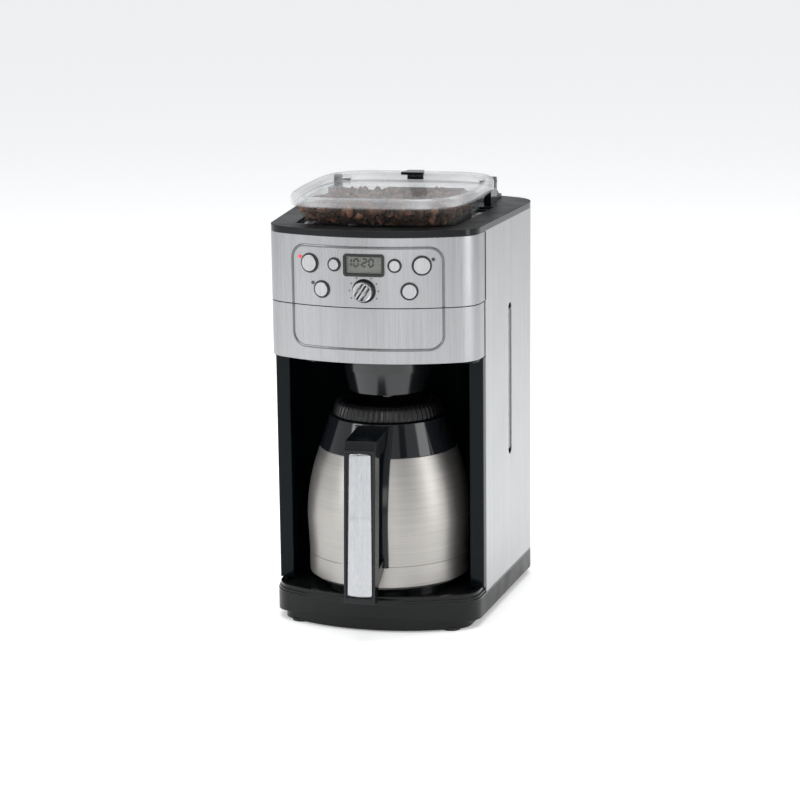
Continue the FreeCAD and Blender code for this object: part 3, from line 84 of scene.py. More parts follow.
# Each soft box: its place, the point it faces, its width and height in metres, its watts.
soft_boxes = {
    "overhead_box": ((0.0, 0.1, 2.3), (0.0, 0.0, 0.2), (2.4, 1.8), 38.0),
    "left_front_box": ((-1.9, -1.7, 1.2), (0.0, 0.0, 0.25), (0.9, 1.5), 22.0),
    "right_strip": ((2.2, -0.5, 0.9), (0.0, 0.0, 0.2), (0.8, 1.9), 15.0),
    "low_front_box": ((0.5, -2.6, 0.5), (0.0, 0.0, 0.15), (1.4, 0.5), 6.0),
}
for name, (place, aim, (wide, tall), power) in soft_boxes.items():
    lamp = bpy.data.lights.new(name, "AREA")
    lamp.shape = "RECTANGLE"
    lamp.size = wide
    lamp.size_y = tall
    lamp.energy = power
    holder = bpy.data.objects.new(name, lamp)
    holder.location = place
    holder.rotation_mode = "QUATERNION"
    holder.rotation_quaternion = (Vector(aim) - Vector(place)).to_track_quat("-Z", "Y")
    holder.visible_camera = False
    bpy.context.scene.collection.objects.link(holder)

# Black felt boards stand between the boxes, so that the metal has something dark to show. Each
# runs from one point on the floor plan to another, between two heights.
felt = finish("black_felt", {"Base Color": (0.01, 0.01, 0.01, 1.0), "Roughness": 1.0})[0]
boards = {
    "felt_left": ((-1.1, -2.6), (-0.55, -2.9), 0.1, 2.4),
    "felt_right": ((1.5, -2.3), (1.9, -1.9), 0.1, 2.2),
    "felt_side": ((2.4, 0.6), (2.2, 1.4), 0.1, 1.6),
}
for name, (start, end, foot, top) in boards.items():
    board = bpy.data.meshes.new(name)
    corners = [(*start, foot), (*end, foot), (*end, top), (*start, top)]
    board.from_pydata(corners, [], [(0, 1, 2, 3)])
    board.materials.append(felt)
    card = bpy.data.objects.new(name, board)
    card.visible_camera = False
    card.visible_shadow = False
    bpy.context.scene.collection.objects.link(card)

# ---- The camera -------------------------------------------------------------------------------
# A long lens a little over two metres off, turned to the machine's right and looking down on it.
CAMERA_TURN = math.radians(13.92)
CAMERA_RISE = math.radians(12.36)
CAMERA_ROLL = math.radians(-0.72)
CAMERA_REACH = 2.3456
CAMERA_AIM = Vector((0.0, -0.0235, 0.199))
toward = Vector((
    math.sin(CAMERA_TURN) * math.cos(CAMERA_RISE),
    -math.cos(CAMERA_TURN) * math.cos(CAMERA_RISE),
    math.sin(CAMERA_RISE),
))
lens = bpy.data.cameras.new("camera")
lens.sensor_width = 36.0
lens.lens = 108.6
lens.shift_x = 0.0107
lens.shift_y = 0.0070
lens.clip_end = 200.0
camera = bpy.data.objects.new("camera", lens)
camera.location = CAMERA_AIM + toward * CAMERA_REACH
camera.rotation_mode = "QUATERNION"
roll = Quaternion((0.0, 0.0, 1.0), CAMERA_ROLL)
camera.rotation_quaternion = (-toward).to_track_quat("-Z", "Y") @ roll
bpy.context.scene.collection.objects.link(camera)
bpy.context.scene.camera = camera

# ---- Base: skirt, tray and plinth -------------------------------------------------------------
# One moulding in black ABS with a polished stepped rim over a satin skirt, a plinth under it that
# stands in on all sides, and four pushed-in rubber feet held with the case screws.


def add(tree, kind, inputs=None, **settings):
    """A new node. Each input is a socket to link from, or a plain value to set."""
    made = tree.nodes.new(kind)
    for key, value in settings.items():
        setattr(made, key, value)
    for key, value in (inputs or {}).items():
        if isinstance(value, bpy.types.NodeSocket):
            tree.links.new(value, made.inputs[key])
        else:
            made.inputs[key].default_value = value
    return made


def noise(tree, scale, detail=2.0, distortion=0.0):
    """Noise that is fixed to the object, between 0 and 1."""
    place = add(tree, "ShaderNodeTexCoord")
    return add(tree, "ShaderNodeTexNoise", {
        "Vector": place.outputs["Object"], "Scale": scale, "Detail": detail,
        "Distortion": distortion,
    }).outputs[0]


def cells(tree, scale):
    """The distance from the nearest point of a scatter that is fixed to the object."""
    place = add(tree, "ShaderNodeTexCoord")
    spots = {"Vector": place.outputs["Object"], "Scale": scale}
    return add(tree, "ShaderNodeTexVoronoi", spots).outputs["Distance"]


def carried(tree, value, start=0.0, end=1.0, new_start=0.0, new_end=1.0):
    """The value with the range from start to end carried onto new_start to new_end."""
    numbers = {0: value, 1: start, 2: end, 3: new_start, 4: new_end}
    return add(tree, "ShaderNodeMapRange", numbers).outputs[0]


def scaled(tree, value, factor, more=0.0, clamped=False):
    """The value times the factor, plus more."""
    numbers = {0: value, 1: factor, 2: more}
    made = add(tree, "ShaderNodeMath", numbers, operation="MULTIPLY_ADD", use_clamp=clamped)
    return made.outputs[0]


def between(tree, mask, first, second):
    """The colour that goes from the first to the second as the mask goes from 0 to 1."""
    first, second = ((*c, 1.0) if isinstance(c, tuple) else c for c in (first, second))
    made = add(tree, "ShaderNodeMix", {0: mask, 6: first, 7: second}, data_type="RGBA")
    return made.outputs[2]


def toned(colour, factor, more=0.0):
    """The colour times the factor, plus more, with no channel over 1."""
    return tuple(min(1.0, channel * factor + more) for channel in colour)


def relief(tree, shader, height, distance, strength, soft_edge):
    """The shader's normal: edges rounded off by soft_edge, with the height's bumps on top."""
    soft = add(tree, "ShaderNodeBevel", {"Radius": soft_edge}, samples=4)
    bump = add(tree, "ShaderNodeBump", {
        "Strength": strength, "Distance": distance, "Height": height, "Normal": soft.outputs[0],
    })
    tree.links.new(bump.outputs[0], shader.inputs["Normal"])


def effect(name, inputs, outputs):
    """An empty node group with named inputs and outputs, and its two end nodes."""
    group = bpy.data.node_groups.new(name, "ShaderNodeTree")
    for label, value in inputs.items():
        kind = "NodeSocketVector" if isinstance(value, tuple) else "NodeSocketFloat"
        socket = group.interface.new_socket(label, in_out="INPUT", socket_type=kind)
        socket.default_value = value
    for label in outputs:
        group.interface.new_socket(label, in_out="OUTPUT", socket_type="NodeSocketFloat")
    return group, group.nodes.new("NodeGroupInput"), group.nodes.new("NodeGroupOutput")


def dress(material, *names):
    """Gives CAD nodes their finish."""
    for name in names:
        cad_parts[name].material_slots[0].material = material


# Worn edges: the cosine of the angle between the face and a rounded edge's normal, broken up by
# noise. It is 0 on a flat face and 1 where the edge has turned the normal by SHARPEST.
worn, enter, leave = effect("worn_edges", {"Reach": 0.0008, "Break up": 220.0}, ["Edge"])
FLATTEST, SHARPEST = 0.995, 0.8
rounded = add(worn, "ShaderNodeBevel", {"Radius": enter.outputs["Reach"]}, samples=4)
flat = add(worn, "ShaderNodeNewGeometry")
normals = {0: rounded.outputs[0], 1: flat.outputs["Normal"]}
along = add(worn, "ShaderNodeVectorMath", normals, operation="DOT_PRODUCT")
turned = carried(worn, along.outputs["Value"], FLATTEST, SHARPEST)
patches = noise(worn, enter.outputs["Break up"], 3.0)
broken = carried(worn, patches, 0.35, 0.65, 0.35, 1.0)
worn.links.new(scaled(worn, turned, broken), leave.inputs["Edge"])

# Handling marks: broad smears and fine dust specks, both between 0 and 1.
marks, enter, leave = effect(
    "handling_marks", {"Smear size": 22.0, "Dust size": 900.0}, ["Smear", "Dust"])
SPECK_EDGE, SPECK_HEART = 0.16, 0.06
smears = noise(marks, enter.outputs["Smear size"], 4.0, 0.8)
marks.links.new(carried(marks, smears, 0.4, 0.7), leave.inputs["Smear"])
specks = cells(marks, enter.outputs["Dust size"])
marks.links.new(carried(marks, specks, SPECK_EDGE, SPECK_HEART), leave.inputs["Dust"])

# Moulded grain: the spark-eroded texture of a mould, as a height.
mould, enter, leave = effect("moulded_grain", {"Grain size": 1500.0}, ["Height"])
mould.links.new(noise(mould, enter.outputs["Grain size"]), leave.inputs["Height"])

DUST_GREY = (0.3, 0.3, 0.3)
POLISH = 0.06


def moulded(name, colour, roughness, grain, gloss=0.5, polished=None, soft_edge=0.0006):
    """Moulded plastic: smears change its roughness, its edges are rubbed lighter, its grain is a
    bump. polished is the range of heights, in metres, where the mould was polished."""
    made, tree, shader = finish(name, {"Specular IOR Level": gloss})
    wear = add(tree, "ShaderNodeGroup", {"Reach": soft_edge}, node_tree=worn)
    touch = add(tree, "ShaderNodeGroup", node_tree=marks)
    rubbed = between(tree, wear.outputs["Edge"], colour, toned(colour, 1.9, 0.012))
    dusty = scaled(tree, touch.outputs["Dust"], 0.10)
    tree.links.new(between(tree, dusty, rubbed, DUST_GREY), shader.inputs["Base Color"])
    dulled = roughness * 1.35 + 0.02
    rough = carried(tree, touch.outputs["Smear"], 0.0, 1.0, roughness, dulled)
    if polished is not None:
        middle, half = (polished[0] + polished[1]) / 2, (polished[1] - polished[0]) / 2
        place = add(tree, "ShaderNodeTexCoord")
        level = add(tree, "ShaderNodeSeparateXYZ", {0: place.outputs["Object"]})
        height = {0: level.outputs[2], 1: middle, 2: half}
        inside = add(tree, "ShaderNodeMath", height, operation="COMPARE")
        rough = add(tree, "ShaderNodeMix", {0: inside.outputs[0], 2: rough, 3: POLISH}).outputs[0]
    tree.links.new(rough, shader.inputs["Roughness"])
    grains = add(tree, "ShaderNodeGroup", node_tree=mould)
    relief(tree, shader, grains.outputs["Height"], grain, 0.25, soft_edge)
    return made


BASE_BLACK = (0.005, 0.0056, 0.0056)
RIM_HEIGHTS = (0.0262, 0.05)
dress(moulded(
    "satin_skirt_polished_rim", BASE_BLACK, 0.30, 0.00003, gloss=0.22, polished=RIM_HEIGHTS,
), "base_cover")
dress(moulded("satin_plinth", BASE_BLACK, 0.33, 0.00005, gloss=0.22), "base_tray")
dress(moulded("foot_rubber", (0.016, 0.016, 0.016), 0.75, 0.0001), "rubber_feet", "cord_gland")

# ---- Bay liner --------------------------------------------------------------------------------
# One polished black moulding makes the columns, the round back wall and the bay's roof. Its edges
# are broadly rounded, so that they catch a line of light.
LINER_BLACK = (0.0015, 0.0045, 0.0055)
dress(moulded(
    "polished_liner", LINER_BLACK, 0.10, 0.00001, gloss=0.12, soft_edge=0.0025,
), "tower_liner")

# ---- Side panels ------------------------------------------------------------------------------
# Folded sheets of stainless steel, brushed from top to bottom, hooked into the base and the head.
# The right one has the long slot that shows the water level.

# Brush lines: noise drawn out along the brush's travel. Fine is single scratches, Broad is bands.
UPRIGHT = (2600.0, 2600.0, 16.0)
lines, enter, leave = effect("brush_lines", {"Stretch": UPRIGHT}, ["Fine", "Broad"])
place = add(lines, "ShaderNodeTexCoord")
drawn = add(lines, "ShaderNodeMapping", {
    "Vector": place.outputs["Object"], "Scale": enter.outputs["Stretch"],
})
hair = add(lines, "ShaderNodeTexNoise", {
    "Vector": drawn.outputs[0], "Scale": 1.0, "Detail": 4.0, "Roughness": 0.65,
})
band = add(lines, "ShaderNodeTexNoise", {"Vector": drawn.outputs[0], "Scale": 0.09, "Detail": 2.0})
lines.links.new(hair.outputs[0], leave.inputs["Fine"])
lines.links.new(band.outputs[0], leave.inputs["Broad"])


def brushed(name, colour, roughness, stretch, anisotropy=0.6, turn=0.0, depth=0.00002,
            soft_edge=0.0007):
    """Brushed metal: the lines vary its colour, roughness and height, and handling has polished
    its edges. The grain's colour runs from 0.80 to 1.14 of the metal's own."""
    made, tree, shader = finish(name, {
        "Metallic": 1.0, "Anisotropic": anisotropy, "Anisotropic Rotation": turn,
    })
    brush = add(tree, "ShaderNodeGroup", {"Stretch": stretch}, node_tree=lines)
    touch = add(tree, "ShaderNodeGroup", {"Smear size": 14.0}, node_tree=marks)
    wear = add(tree, "ShaderNodeGroup", {"Reach": soft_edge}, node_tree=worn)
    both = scaled(tree, brush.outputs["Broad"], 0.25, brush.outputs["Fine"])
    tone = carried(tree, both, 0.40, 0.86)
    shade = between(tree, tone, toned(colour, 0.80), toned(colour, 1.14))
    edged = between(tree, wear.outputs["Edge"], shade, toned(colour, 1.35))
    tree.links.new(edged, shader.inputs["Base Color"])
    uneven = carried(
        tree, brush.outputs["Fine"], 0.3, 0.7, roughness * 0.8, roughness * 1.25)
    handled = scaled(tree, touch.outputs["Smear"], 0.06, uneven)
    tree.links.new(handled, shader.inputs["Roughness"])
    relief(tree, shader, brush.outputs["Fine"], depth, 0.35, soft_edge)
    return made


side_steel = brushed(
    "brushed_side_panel", (0.47, 0.475, 0.485), 0.32, UPRIGHT, soft_edge=0.00035)
dress(side_steel, "left_side_panel", "right_side_panel")

# ---- Rear cover -------------------------------------------------------------------------------
# Charcoal ABS with a coarse moulded grain and louvres, screwed on by four zinc plated screws. The
# hinge pins have the same plating, tumbled so that it has no direction.
dress(moulded("grained_charcoal", (0.028, 0.030, 0.032), 0.42, 0.00010), "rear_cover")
TUMBLED = (900.0, 900.0, 900.0)
zinc = brushed("zinc_screws", (0.62, 0.62, 0.60), 0.28, TUMBLED, anisotropy=0.0)
dress(zinc, "rear_screws", "base_screws", "door_hinge_pin", "reservoir_hinge_pin",
      "hopper_hinge_pins")

# ---- Head chassis -----------------------------------------------------------------------------
# The matt black moulding that carries the panels, the grinder and the shower head.
matt_black = moulded("matt_chassis", (0.014, 0.014, 0.015), 0.5, 0.00008)
dress(matt_black, "head_chassis", "shower_head", "grinder_housing", "filter_basket")

# ---- Control panel ----------------------------------------------------------------------------
# A brushed steel skin on the curved front, with a pressed line that frames the controls and runs
# on across the filter door below. Round keys sit in black rings and press straight in.
panel_steel = brushed(
    "brushed_front_panel", (0.375, 0.38, 0.39), 0.28, UPRIGHT, soft_edge=0.00035)
dress(panel_steel, "control_panel")
FRONT_ARC_CENTRE = 0.058525
FRONT_ARC_RADIUS = 0.182
LINE_HALF, LINE_CORNER = 0.072, 0.013
PANEL_LINE_FOOT, PANEL_LINE_TOP = 0.3132, 0.3688


def circle(count):
    """That many angles, evenly spaced round a circle."""
    return np.linspace(0.0, 2 * math.pi, count + 1)[:-1]


def cloud(x, y, z):
    """Points, one a row, from three arrays that fit one grid."""
    return np.stack(np.broadcast_arrays(x, y, z), axis=-1).reshape(-1, 3)


def object_of(name, points, faces, body, material, smooth=True):
    """An object whose mesh has these points and faces, on a CAD body, in a material."""
    mesh = bpy.data.meshes.new(name)
    mesh.from_pydata(points.tolist(), [], faces.tolist() if hasattr(faces, "tolist") else faces)
    mesh.materials.append(material)
    mesh.shade_smooth() if smooth else mesh.shade_flat()
    made = bpy.data.objects.new(name, mesh)
    bpy.context.scene.collection.objects.link(made)
    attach(made, body)
    return made


def marked(thing, name, values):
    """Gives each point of a piece its value of a named attribute."""
    layer = thing.data.attributes.new(name, "FLOAT", "POINT")
    layer.data.foreach_set("value", values.astype(np.float32).ravel())


def grid_faces(rows, columns, closed_rows=False, closed_columns=True, start=0):
    """Quads of a grid of points numbered row by row; a closed direction joins last to first."""
    r = np.arange(rows if closed_rows else rows - 1)[:, None]
    c = np.arange(columns if closed_columns else columns - 1)[None, :]
    r2, c2 = (r + 1) % rows, (c + 1) % columns
    quads = [r * columns + c, r * columns + c2, r2 * columns + c2, r2 * columns + c]
    return np.stack(quads, axis=-1).reshape(-1, 4) + start


def end_caps(rows, columns, start=0):
    """The two faces that close a tube of rings: the first ring backwards, the last forwards."""
    first = [start + i for i in range(columns)]
    return [first[::-1], [(rows - 1) * columns + i for i in first]]


def front_at(x, proud=0.0):
    """y on the front arc at x: its centre less the root of its radius squared less x squared."""
    return FRONT_ARC_CENTRE - np.sqrt((FRONT_ARC_RADIUS + proud) ** 2 - x ** 2)


def framed_path(half, edge, corner, meet):
    """x and z along a line that rises from meet, turns a round corner and crosses at edge, and
    then the same in the mirror."""
    turn = np.linspace(0.0, math.pi / 2, 13)
    sign = 1.0 if edge > meet else -1.0
    climb = np.linspace(meet, edge - sign * corner, 12)[:-1]
    corner_x = half - corner + corner * np.cos(turn)
    corner_z = edge - sign * corner + sign * corner * np.sin(turn)
    across = np.linspace(half - corner, 0.0, 40)[1:]
    x = np.concatenate([np.full(len(climb), half), corner_x, across])
    z = np.concatenate([climb, corner_z, np.full(len(across), edge)])
    return np.concatenate([x, -x[-2::-1]]), np.concatenate([z, z[-2::-1]])


def pressed_line(name, path, body, material, half_width=0.0013, rise=0.0009):
    """A half-sunk bead on the front arc: its ring at each point of the path is the half width
    times cos t across, and the rise times sin t out."""
    x, z = path
    centre = np.stack([x, front_at(x), z], axis=1)
    out = np.stack([x, centre[:, 1] - FRONT_ARC_CENTRE, np.zeros_like(x)], axis=1)
    out /= FRONT_ARC_RADIUS
    across = np.cross(np.gradient(centre, axis=0), out)
    across /= np.linalg.norm(across, axis=1)[:, None]
    t = circle(12)[None, :, None]
    sideways = half_width * np.cos(t) * across[:, None]
    ring = centre[:, None] + sideways + rise * np.sin(t) * out[:, None]
    faces = grid_faces(len(x), 12).tolist() + end_caps(len(x), 12)
    made = object_of(name, ring.reshape(-1, 3), faces, body, material)
    return made


# The pressed line's steel is a darker copy of the panel's steel: painted shade along the bead.
shaded_bead_steel = brushed(
    "painted_shade_bead_steel", (0.17, 0.17, 0.175), 0.22, UPRIGHT, anisotropy=0.2)
panel_path = framed_path(LINE_HALF, PANEL_LINE_TOP, LINE_CORNER, PANEL_LINE_FOOT)
pressed_line("panel_pressed_line", panel_path, "housing", shaded_bead_steel)

# A thin black cord lies in the joint where the front panel meets each side panel, painted shade
# that darkens the seam: a round cord, whose points are its radius times cos p and sin p about an
# upright line.
SEAM_SHADE_X, SEAM_SHADE_Y, SEAM_SHADE_RADIUS = 0.1017, -0.06295, 0.0007
SEAM_SHADE_FOOT, SEAM_SHADE_TOP = 0.3130, 0.3776
LEVELS, ROUND = 9, 16
seam_shade, seam_shade_faces = [], []
p = circle(ROUND)[None, :]
levels = np.linspace(SEAM_SHADE_FOOT, SEAM_SHADE_TOP, LEVELS)[:, None]
for index, side in enumerate((-1.0, 1.0)):
    x = side * (SEAM_SHADE_X + SEAM_SHADE_RADIUS * np.cos(p))
    y = SEAM_SHADE_Y + side * SEAM_SHADE_RADIUS * np.sin(p)
    seam_shade.append(cloud(x, y, levels))
    first = index * LEVELS * ROUND
    seam_shade_faces += grid_faces(LEVELS, ROUND, start=first).tolist()
    seam_shade_faces += end_caps(LEVELS, ROUND, first)
# Painted shade: the cord is near black so that the joint reads as a dark line.
seam_shade_black = moulded("painted_seam_shade", (0.008, 0.008, 0.009), 0.5, 0.00002)
seam_shade_cord = object_of(
    "panel_seam_shade_cord", np.concatenate(seam_shade), seam_shade_faces, "housing", seam_shade_black)

key_steel = brushed("key_steel", (0.44, 0.445, 0.455), 0.24, UPRIGHT, anisotropy=0.4)
keys = ["on_off", "hour", "minute", "program", "grind_off", "strength"]
dress(key_steel, *[f"{key}_button" for key in keys])
ring_black = moulded("key_ring_black", (0.010, 0.010, 0.011), 0.16, 0.00001)
dress(ring_black, "button_rings")


def lens_finish(name, colour, glow):
    """A small moulded lens with a little light in it."""
    made, tree, shader = finish(name, {
        "Emission Color": (*colour, 1.0), "Emission Strength": glow,
        "Coat Weight": 0.6, "Coat Roughness": 0.05, "Roughness": 0.15,
    })
    touch = add(tree, "ShaderNodeGroup", {"Smear size": 300.0}, node_tree=marks)
    tint = between(tree, touch.outputs["Smear"], colour, toned(colour, 0.7))
    tree.links.new(tint, shader.inputs["Base Color"])
    return made


dress(lens_finish("red_power_lens", (0.75, 0.010, 0.020), 0.9), "power_light")
dress(lens_finish("dark_setting_lens", (0.030, 0.008, 0.008), 0.0), "setting_lights")

# ---- Grind knob and its dial ------------------------------------------------------------------
# A steel capped knob with a grip bar across it, turned over nine printed dots on the panel. Each
# dot is a disc of rings, crowned a little where it lies on the front arc.
KNOB_HEIGHT = 0.3286
DIAL_RADIUS, DOT_RADIUS, DOT_CROWN = 0.0138, 0.00075, 0.00012
DOTS, DOT_RINGS, DOT_ROUND = 9, 4, 12
ink, tree, shader = finish("dial_ink", {"Roughness": 0.5})
touch = add(tree, "ShaderNodeGroup", {"Smear size": 800.0}, node_tree=marks)
faded = between(tree, touch.outputs["Smear"], (0.02, 0.02, 0.02), (0.06, 0.06, 0.06))
tree.links.new(faded, shader.inputs["Base Color"])
clock = np.radians(np.linspace(-210.0, 30.0, DOTS)[:, None, None])
rings = np.linspace(0.0, 1.0, DOT_RINGS)[None, :, None]
spin = circle(DOT_ROUND)[None, None, :]
dot_x = DIAL_RADIUS * np.cos(clock) + DOT_RADIUS * rings * np.cos(spin)
dot_z = KNOB_HEIGHT - DIAL_RADIUS * np.sin(clock) + DOT_RADIUS * rings * np.sin(spin)
dots = cloud(dot_x, front_at(dot_x, DOT_CROWN * np.sqrt(1.0 - 0.9 * rings ** 2)), dot_z)
dot_faces = np.concatenate([
    grid_faces(DOT_RINGS, DOT_ROUND, start=i * DOT_RINGS * DOT_ROUND) for i in range(DOTS)
])
dial = object_of("dial_dots", dots, dot_faces, "housing", ink)

# The knob is a height over a disc: a stepped profile by radius, a bar raised across it where the
# distance from the bar's line is small, and fine flutes that swell the side's radius. The groove
# along the bar, the steps at its sides and the fluted edge are darkened nearly to black in its
# colour: painted shade.
BAR_TURN = math.radians(56.0)
BAR_HALF, BAR_RISE = 0.0031, 0.0030
GROOVE_HALF, GROOVE_DEPTH = 0.0011, 0.0009
FACE_RADIUS, FLUTE_DEPTH = 0.0088, 0.00025
PAINT_START, PAINT_END, PAINT_FADE = 0.0027, 0.0050, 0.0006
FLUTES, KNOB_TURNS = 30, 240
knob_profile = np.array([
    (0.0, 7.4), (1.5, 7.4), (3.0, 7.4), (4.5, 7.4), (5.6, 7.4), (6.6, 7.4), (7.4, 7.4),
    (8.0, 7.45), (8.4, 7.7), (8.7, 7.8), (9.0, 7.6), (9.2, 7.1), (9.4, 5.5), (9.6, 3.0),
    (9.8, 1.2), (9.9, 0.6), (9.9, 0.2),
]) / 1000.0
t = circle(KNOB_TURNS)[None, :]
radius, lift = knob_profile[:, :1], knob_profile[:, 1:]
fluted = (radius > 0.00915) * (radius < 0.00985)
radius = radius - FLUTE_DEPTH * fluted * (1.0 - np.cos(FLUTES * t))
knob_x, knob_z = radius * np.cos(t), radius * np.sin(t)
off_line = np.abs(-knob_x * math.sin(BAR_TURN) + knob_z * math.cos(BAR_TURN))
ridge = np.clip((BAR_HALF - off_line) / 0.0007, 0.0, 1.0)
groove = np.clip((GROOVE_HALF - off_line) / 0.0005, 0.0, 1.0)
inward = np.clip((FACE_RADIUS - radius) / 0.0012, 0.0, 1.0)
lift = lift + (BAR_RISE * ridge - GROOVE_DEPTH * groove) * inward
knob_points = cloud(knob_x, FRONT_ARC_CENTRE - FRONT_ARC_RADIUS - lift, KNOB_HEIGHT + knob_z)
rows = len(knob_profile)
knob_faces = grid_faces(rows, KNOB_TURNS)[:, ::-1].tolist()
knob_faces.append(end_caps(rows, KNOB_TURNS)[1][::-1])
knob_steel = brushed(
    "knob_steel", (0.42, 0.425, 0.435), 0.26, UPRIGHT, anisotropy=0.2, soft_edge=0.0003)
tree = knob_steel.node_tree
base_colour = tree.nodes["Principled BSDF"].inputs["Base Color"]
plain = base_colour.links[0].from_socket
# Painted shade: the knob's colour goes to near black where this attribute marks the groove, the
# steps and the fluted edge.
painted_knob_shade = add(tree, "ShaderNodeAttribute", attribute_name="painted_knob_shade")
shaded_knob_colour = between(tree, painted_knob_shade.outputs["Fac"], plain, (0.03, 0.03, 0.032))
tree.links.new(shaded_knob_colour, base_colour)
knob = object_of("grind_control_knob", knob_points, knob_faces, "knob", knob_steel)
beside = np.clip((PAINT_END - off_line) / PAINT_FADE, 0.0, 1.0)
beside = beside * np.clip((off_line - PAINT_START) / PAINT_FADE, 0.0, 1.0)
marked(knob, "painted_knob_shade", np.clip((beside + groove) * inward + 0.7 * (radius > 0.00925), 0.0, 1.0))
weld = knob.modifiers.new("weld", "WELD")
weld.merge_threshold = 0.000001
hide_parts("grind_knob")

# The ring the knob turns in: a circle of tube radius, turned about the knob's axis on the arc.
SEAT_RADIUS, SEAT_TUBE = 0.0106, 0.0007
SEAT_TURNS, SEAT_ROUND = 96, 12
t, p = circle(SEAT_TURNS)[:, None], circle(SEAT_ROUND)[None, :]
seat_x = (SEAT_RADIUS + SEAT_TUBE * np.cos(p)) * np.cos(t)
seat_z = (SEAT_RADIUS + SEAT_TUBE * np.cos(p)) * np.sin(t) + KNOB_HEIGHT
seat = cloud(seat_x, front_at(seat_x, SEAT_TUBE * np.sin(p)), seat_z)
seat_faces = grid_faces(SEAT_TURNS, SEAT_ROUND, closed_rows=True)
knob_seat = object_of("knob_seat_ring", seat, seat_faces, "housing", ring_black)

# ---- Clock ------------------------------------------------------------------------------------
# A reflective liquid crystal behind a clear window in a black frame. The digits are bars between
# the module's glass and the window.
dress(moulded("clock_frame", (0.012, 0.012, 0.013), 0.12, 0.00001), "display_bezel")
CLEAR_DUST = (0.9, 0.9, 0.9)
RIM_LIGHT_GREY = (0.56, 0.57, 0.58)


def clear(name, colour, least, most, roughness=0.05, coat=0.0, painted_rim_light=None):
    """Clear plastic: a thin grey veil where it is seen straight through, denser towards a glancing
    angle, where the veil's grey is a painted reflection. The named point attribute, if given, makes
    the veil lighter and denser: a painted highlight."""
    made, tree, shader = finish(name, {"IOR": 1.49, "Coat Weight": coat, "Coat Roughness": 0.03})
    # Painted reflection: the grey veil grows denser towards a glancing angle.
    glance = add(tree, "ShaderNodeLayerWeight", {"Blend": 0.35})
    film = carried(tree, glance.outputs["Facing"], 0.0, 0.9, least, most)
    touch = add(tree, "ShaderNodeGroup", {"Smear size": 30.0}, node_tree=marks)
    shade = between(tree, touch.outputs["Dust"], colour, CLEAR_DUST)
    # Painted highlight: where the attribute is high, the veil is lighter and denser.
    if painted_rim_light:
        rim_light = add(tree, "ShaderNodeAttribute", attribute_name=painted_rim_light).outputs["Fac"]
        film = scaled(tree, rim_light, 0.38, film, clamped=True)
        shade = between(tree, rim_light, shade, RIM_LIGHT_GREY)
    tree.links.new(film, shader.inputs["Alpha"])
    tree.links.new(shade, shader.inputs["Base Color"])
    rub = carried(tree, touch.outputs["Smear"], 0.0, 1.0, roughness, roughness * 2.0)
    tree.links.new(rub, shader.inputs["Roughness"])
    soft = add(tree, "ShaderNodeBevel", {"Radius": 0.0012}, samples=4)
    tree.links.new(soft.outputs[0], shader.inputs["Normal"])
    return made


dress(clear("clock_window", (0.2, 0.22, 0.2), 0.08, 0.5), "display_window")
crystal, tree, shader = finish("liquid_crystal", {
    "Roughness": 0.35, "Coat Weight": 0.4, "Coat Roughness": 0.1,
})
green = between(tree, noise(tree, 60.0), (0.17, 0.18, 0.155), (0.25, 0.26, 0.225))
tree.links.new(green, shader.inputs["Base Color"])
dress(crystal, "display_module")

digit_black, tree, shader = finish("digit_black", {"Roughness": 0.3})
grey = between(tree, noise(tree, 900.0), (0.008, 0.01, 0.008), (0.02, 0.024, 0.02))
tree.links.new(grey, shader.inputs["Base Color"])
# Each bar's place in half widths and half heights of a digit, and whether it stands. A bar is a
# six-sided outline, given a front and a back, and leant over by its height times LEAN.
DIGIT_HALF, DIGIT_TALL, DIGIT_MIDDLE = 0.0020, 0.0034, 0.3545
BAR, BAR_GAP, LEAN = 0.00085, 0.0003, 0.08
COLON_X, COLON_RISE, COLON_SIZE = -0.0038, 0.0014, (0.0006, 0.0005)
BACK_OFF, FRONT_OFF = 0.00004, 0.00016
bars = {
    "a": (0, 1, False), "b": (1, 0.5, True), "c": (1, -0.5, True), "d": (0, -1, False),
    "e": (-1, -0.5, True), "f": (-1, 0.5, True), "g": (0, 0, False),
}
digits = {"0": "abcdef", "1": "bc", "2": "abged"}
low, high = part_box("display_module")
outline = np.array([
    (-1.0, 0.0), (-0.78, 1.0), (0.78, 1.0), (1.0, 0.0), (0.78, -1.0), (-0.78, -1.0),
])
shapes = []
for character, centre in zip("1020", (-0.0142, -0.0078, 0.0002, 0.0066)):
    for bar in digits[character]:
        side, level, standing = bars[bar]
        reach = (DIGIT_TALL / 2 if standing else DIGIT_HALF) - BAR_GAP
        shape = outline * (reach, BAR)
        shape = shape[:, ::-1] if standing else shape
        z = level * DIGIT_TALL + shape[:, 1]
        shapes.append((side * DIGIT_HALF + shape[:, 0] + z * LEAN + centre, z))
for rise in (COLON_RISE, -COLON_RISE):
    spot = outline * COLON_SIZE
    shapes.append((spot[:, 0] + COLON_X, spot[:, 1] + rise))
digit_points = np.concatenate([
    cloud(x, low.y - off, z + DIGIT_MIDDLE) for x, z in shapes for off in (BACK_OFF, FRONT_OFF)
])
prism = [[i, (i + 1) % 6, (i + 1) % 6 + 6, i + 6] for i in range(6)]
prism += [[5, 4, 3, 2, 1, 0], [6, 7, 8, 9, 10, 11]]
faces = [[v + index * 12 for v in face] for index in range(len(shapes)) for face in prism]
clock_digits = object_of(
    "clock_digits", digit_points, faces, "housing", digit_black, smooth=False)

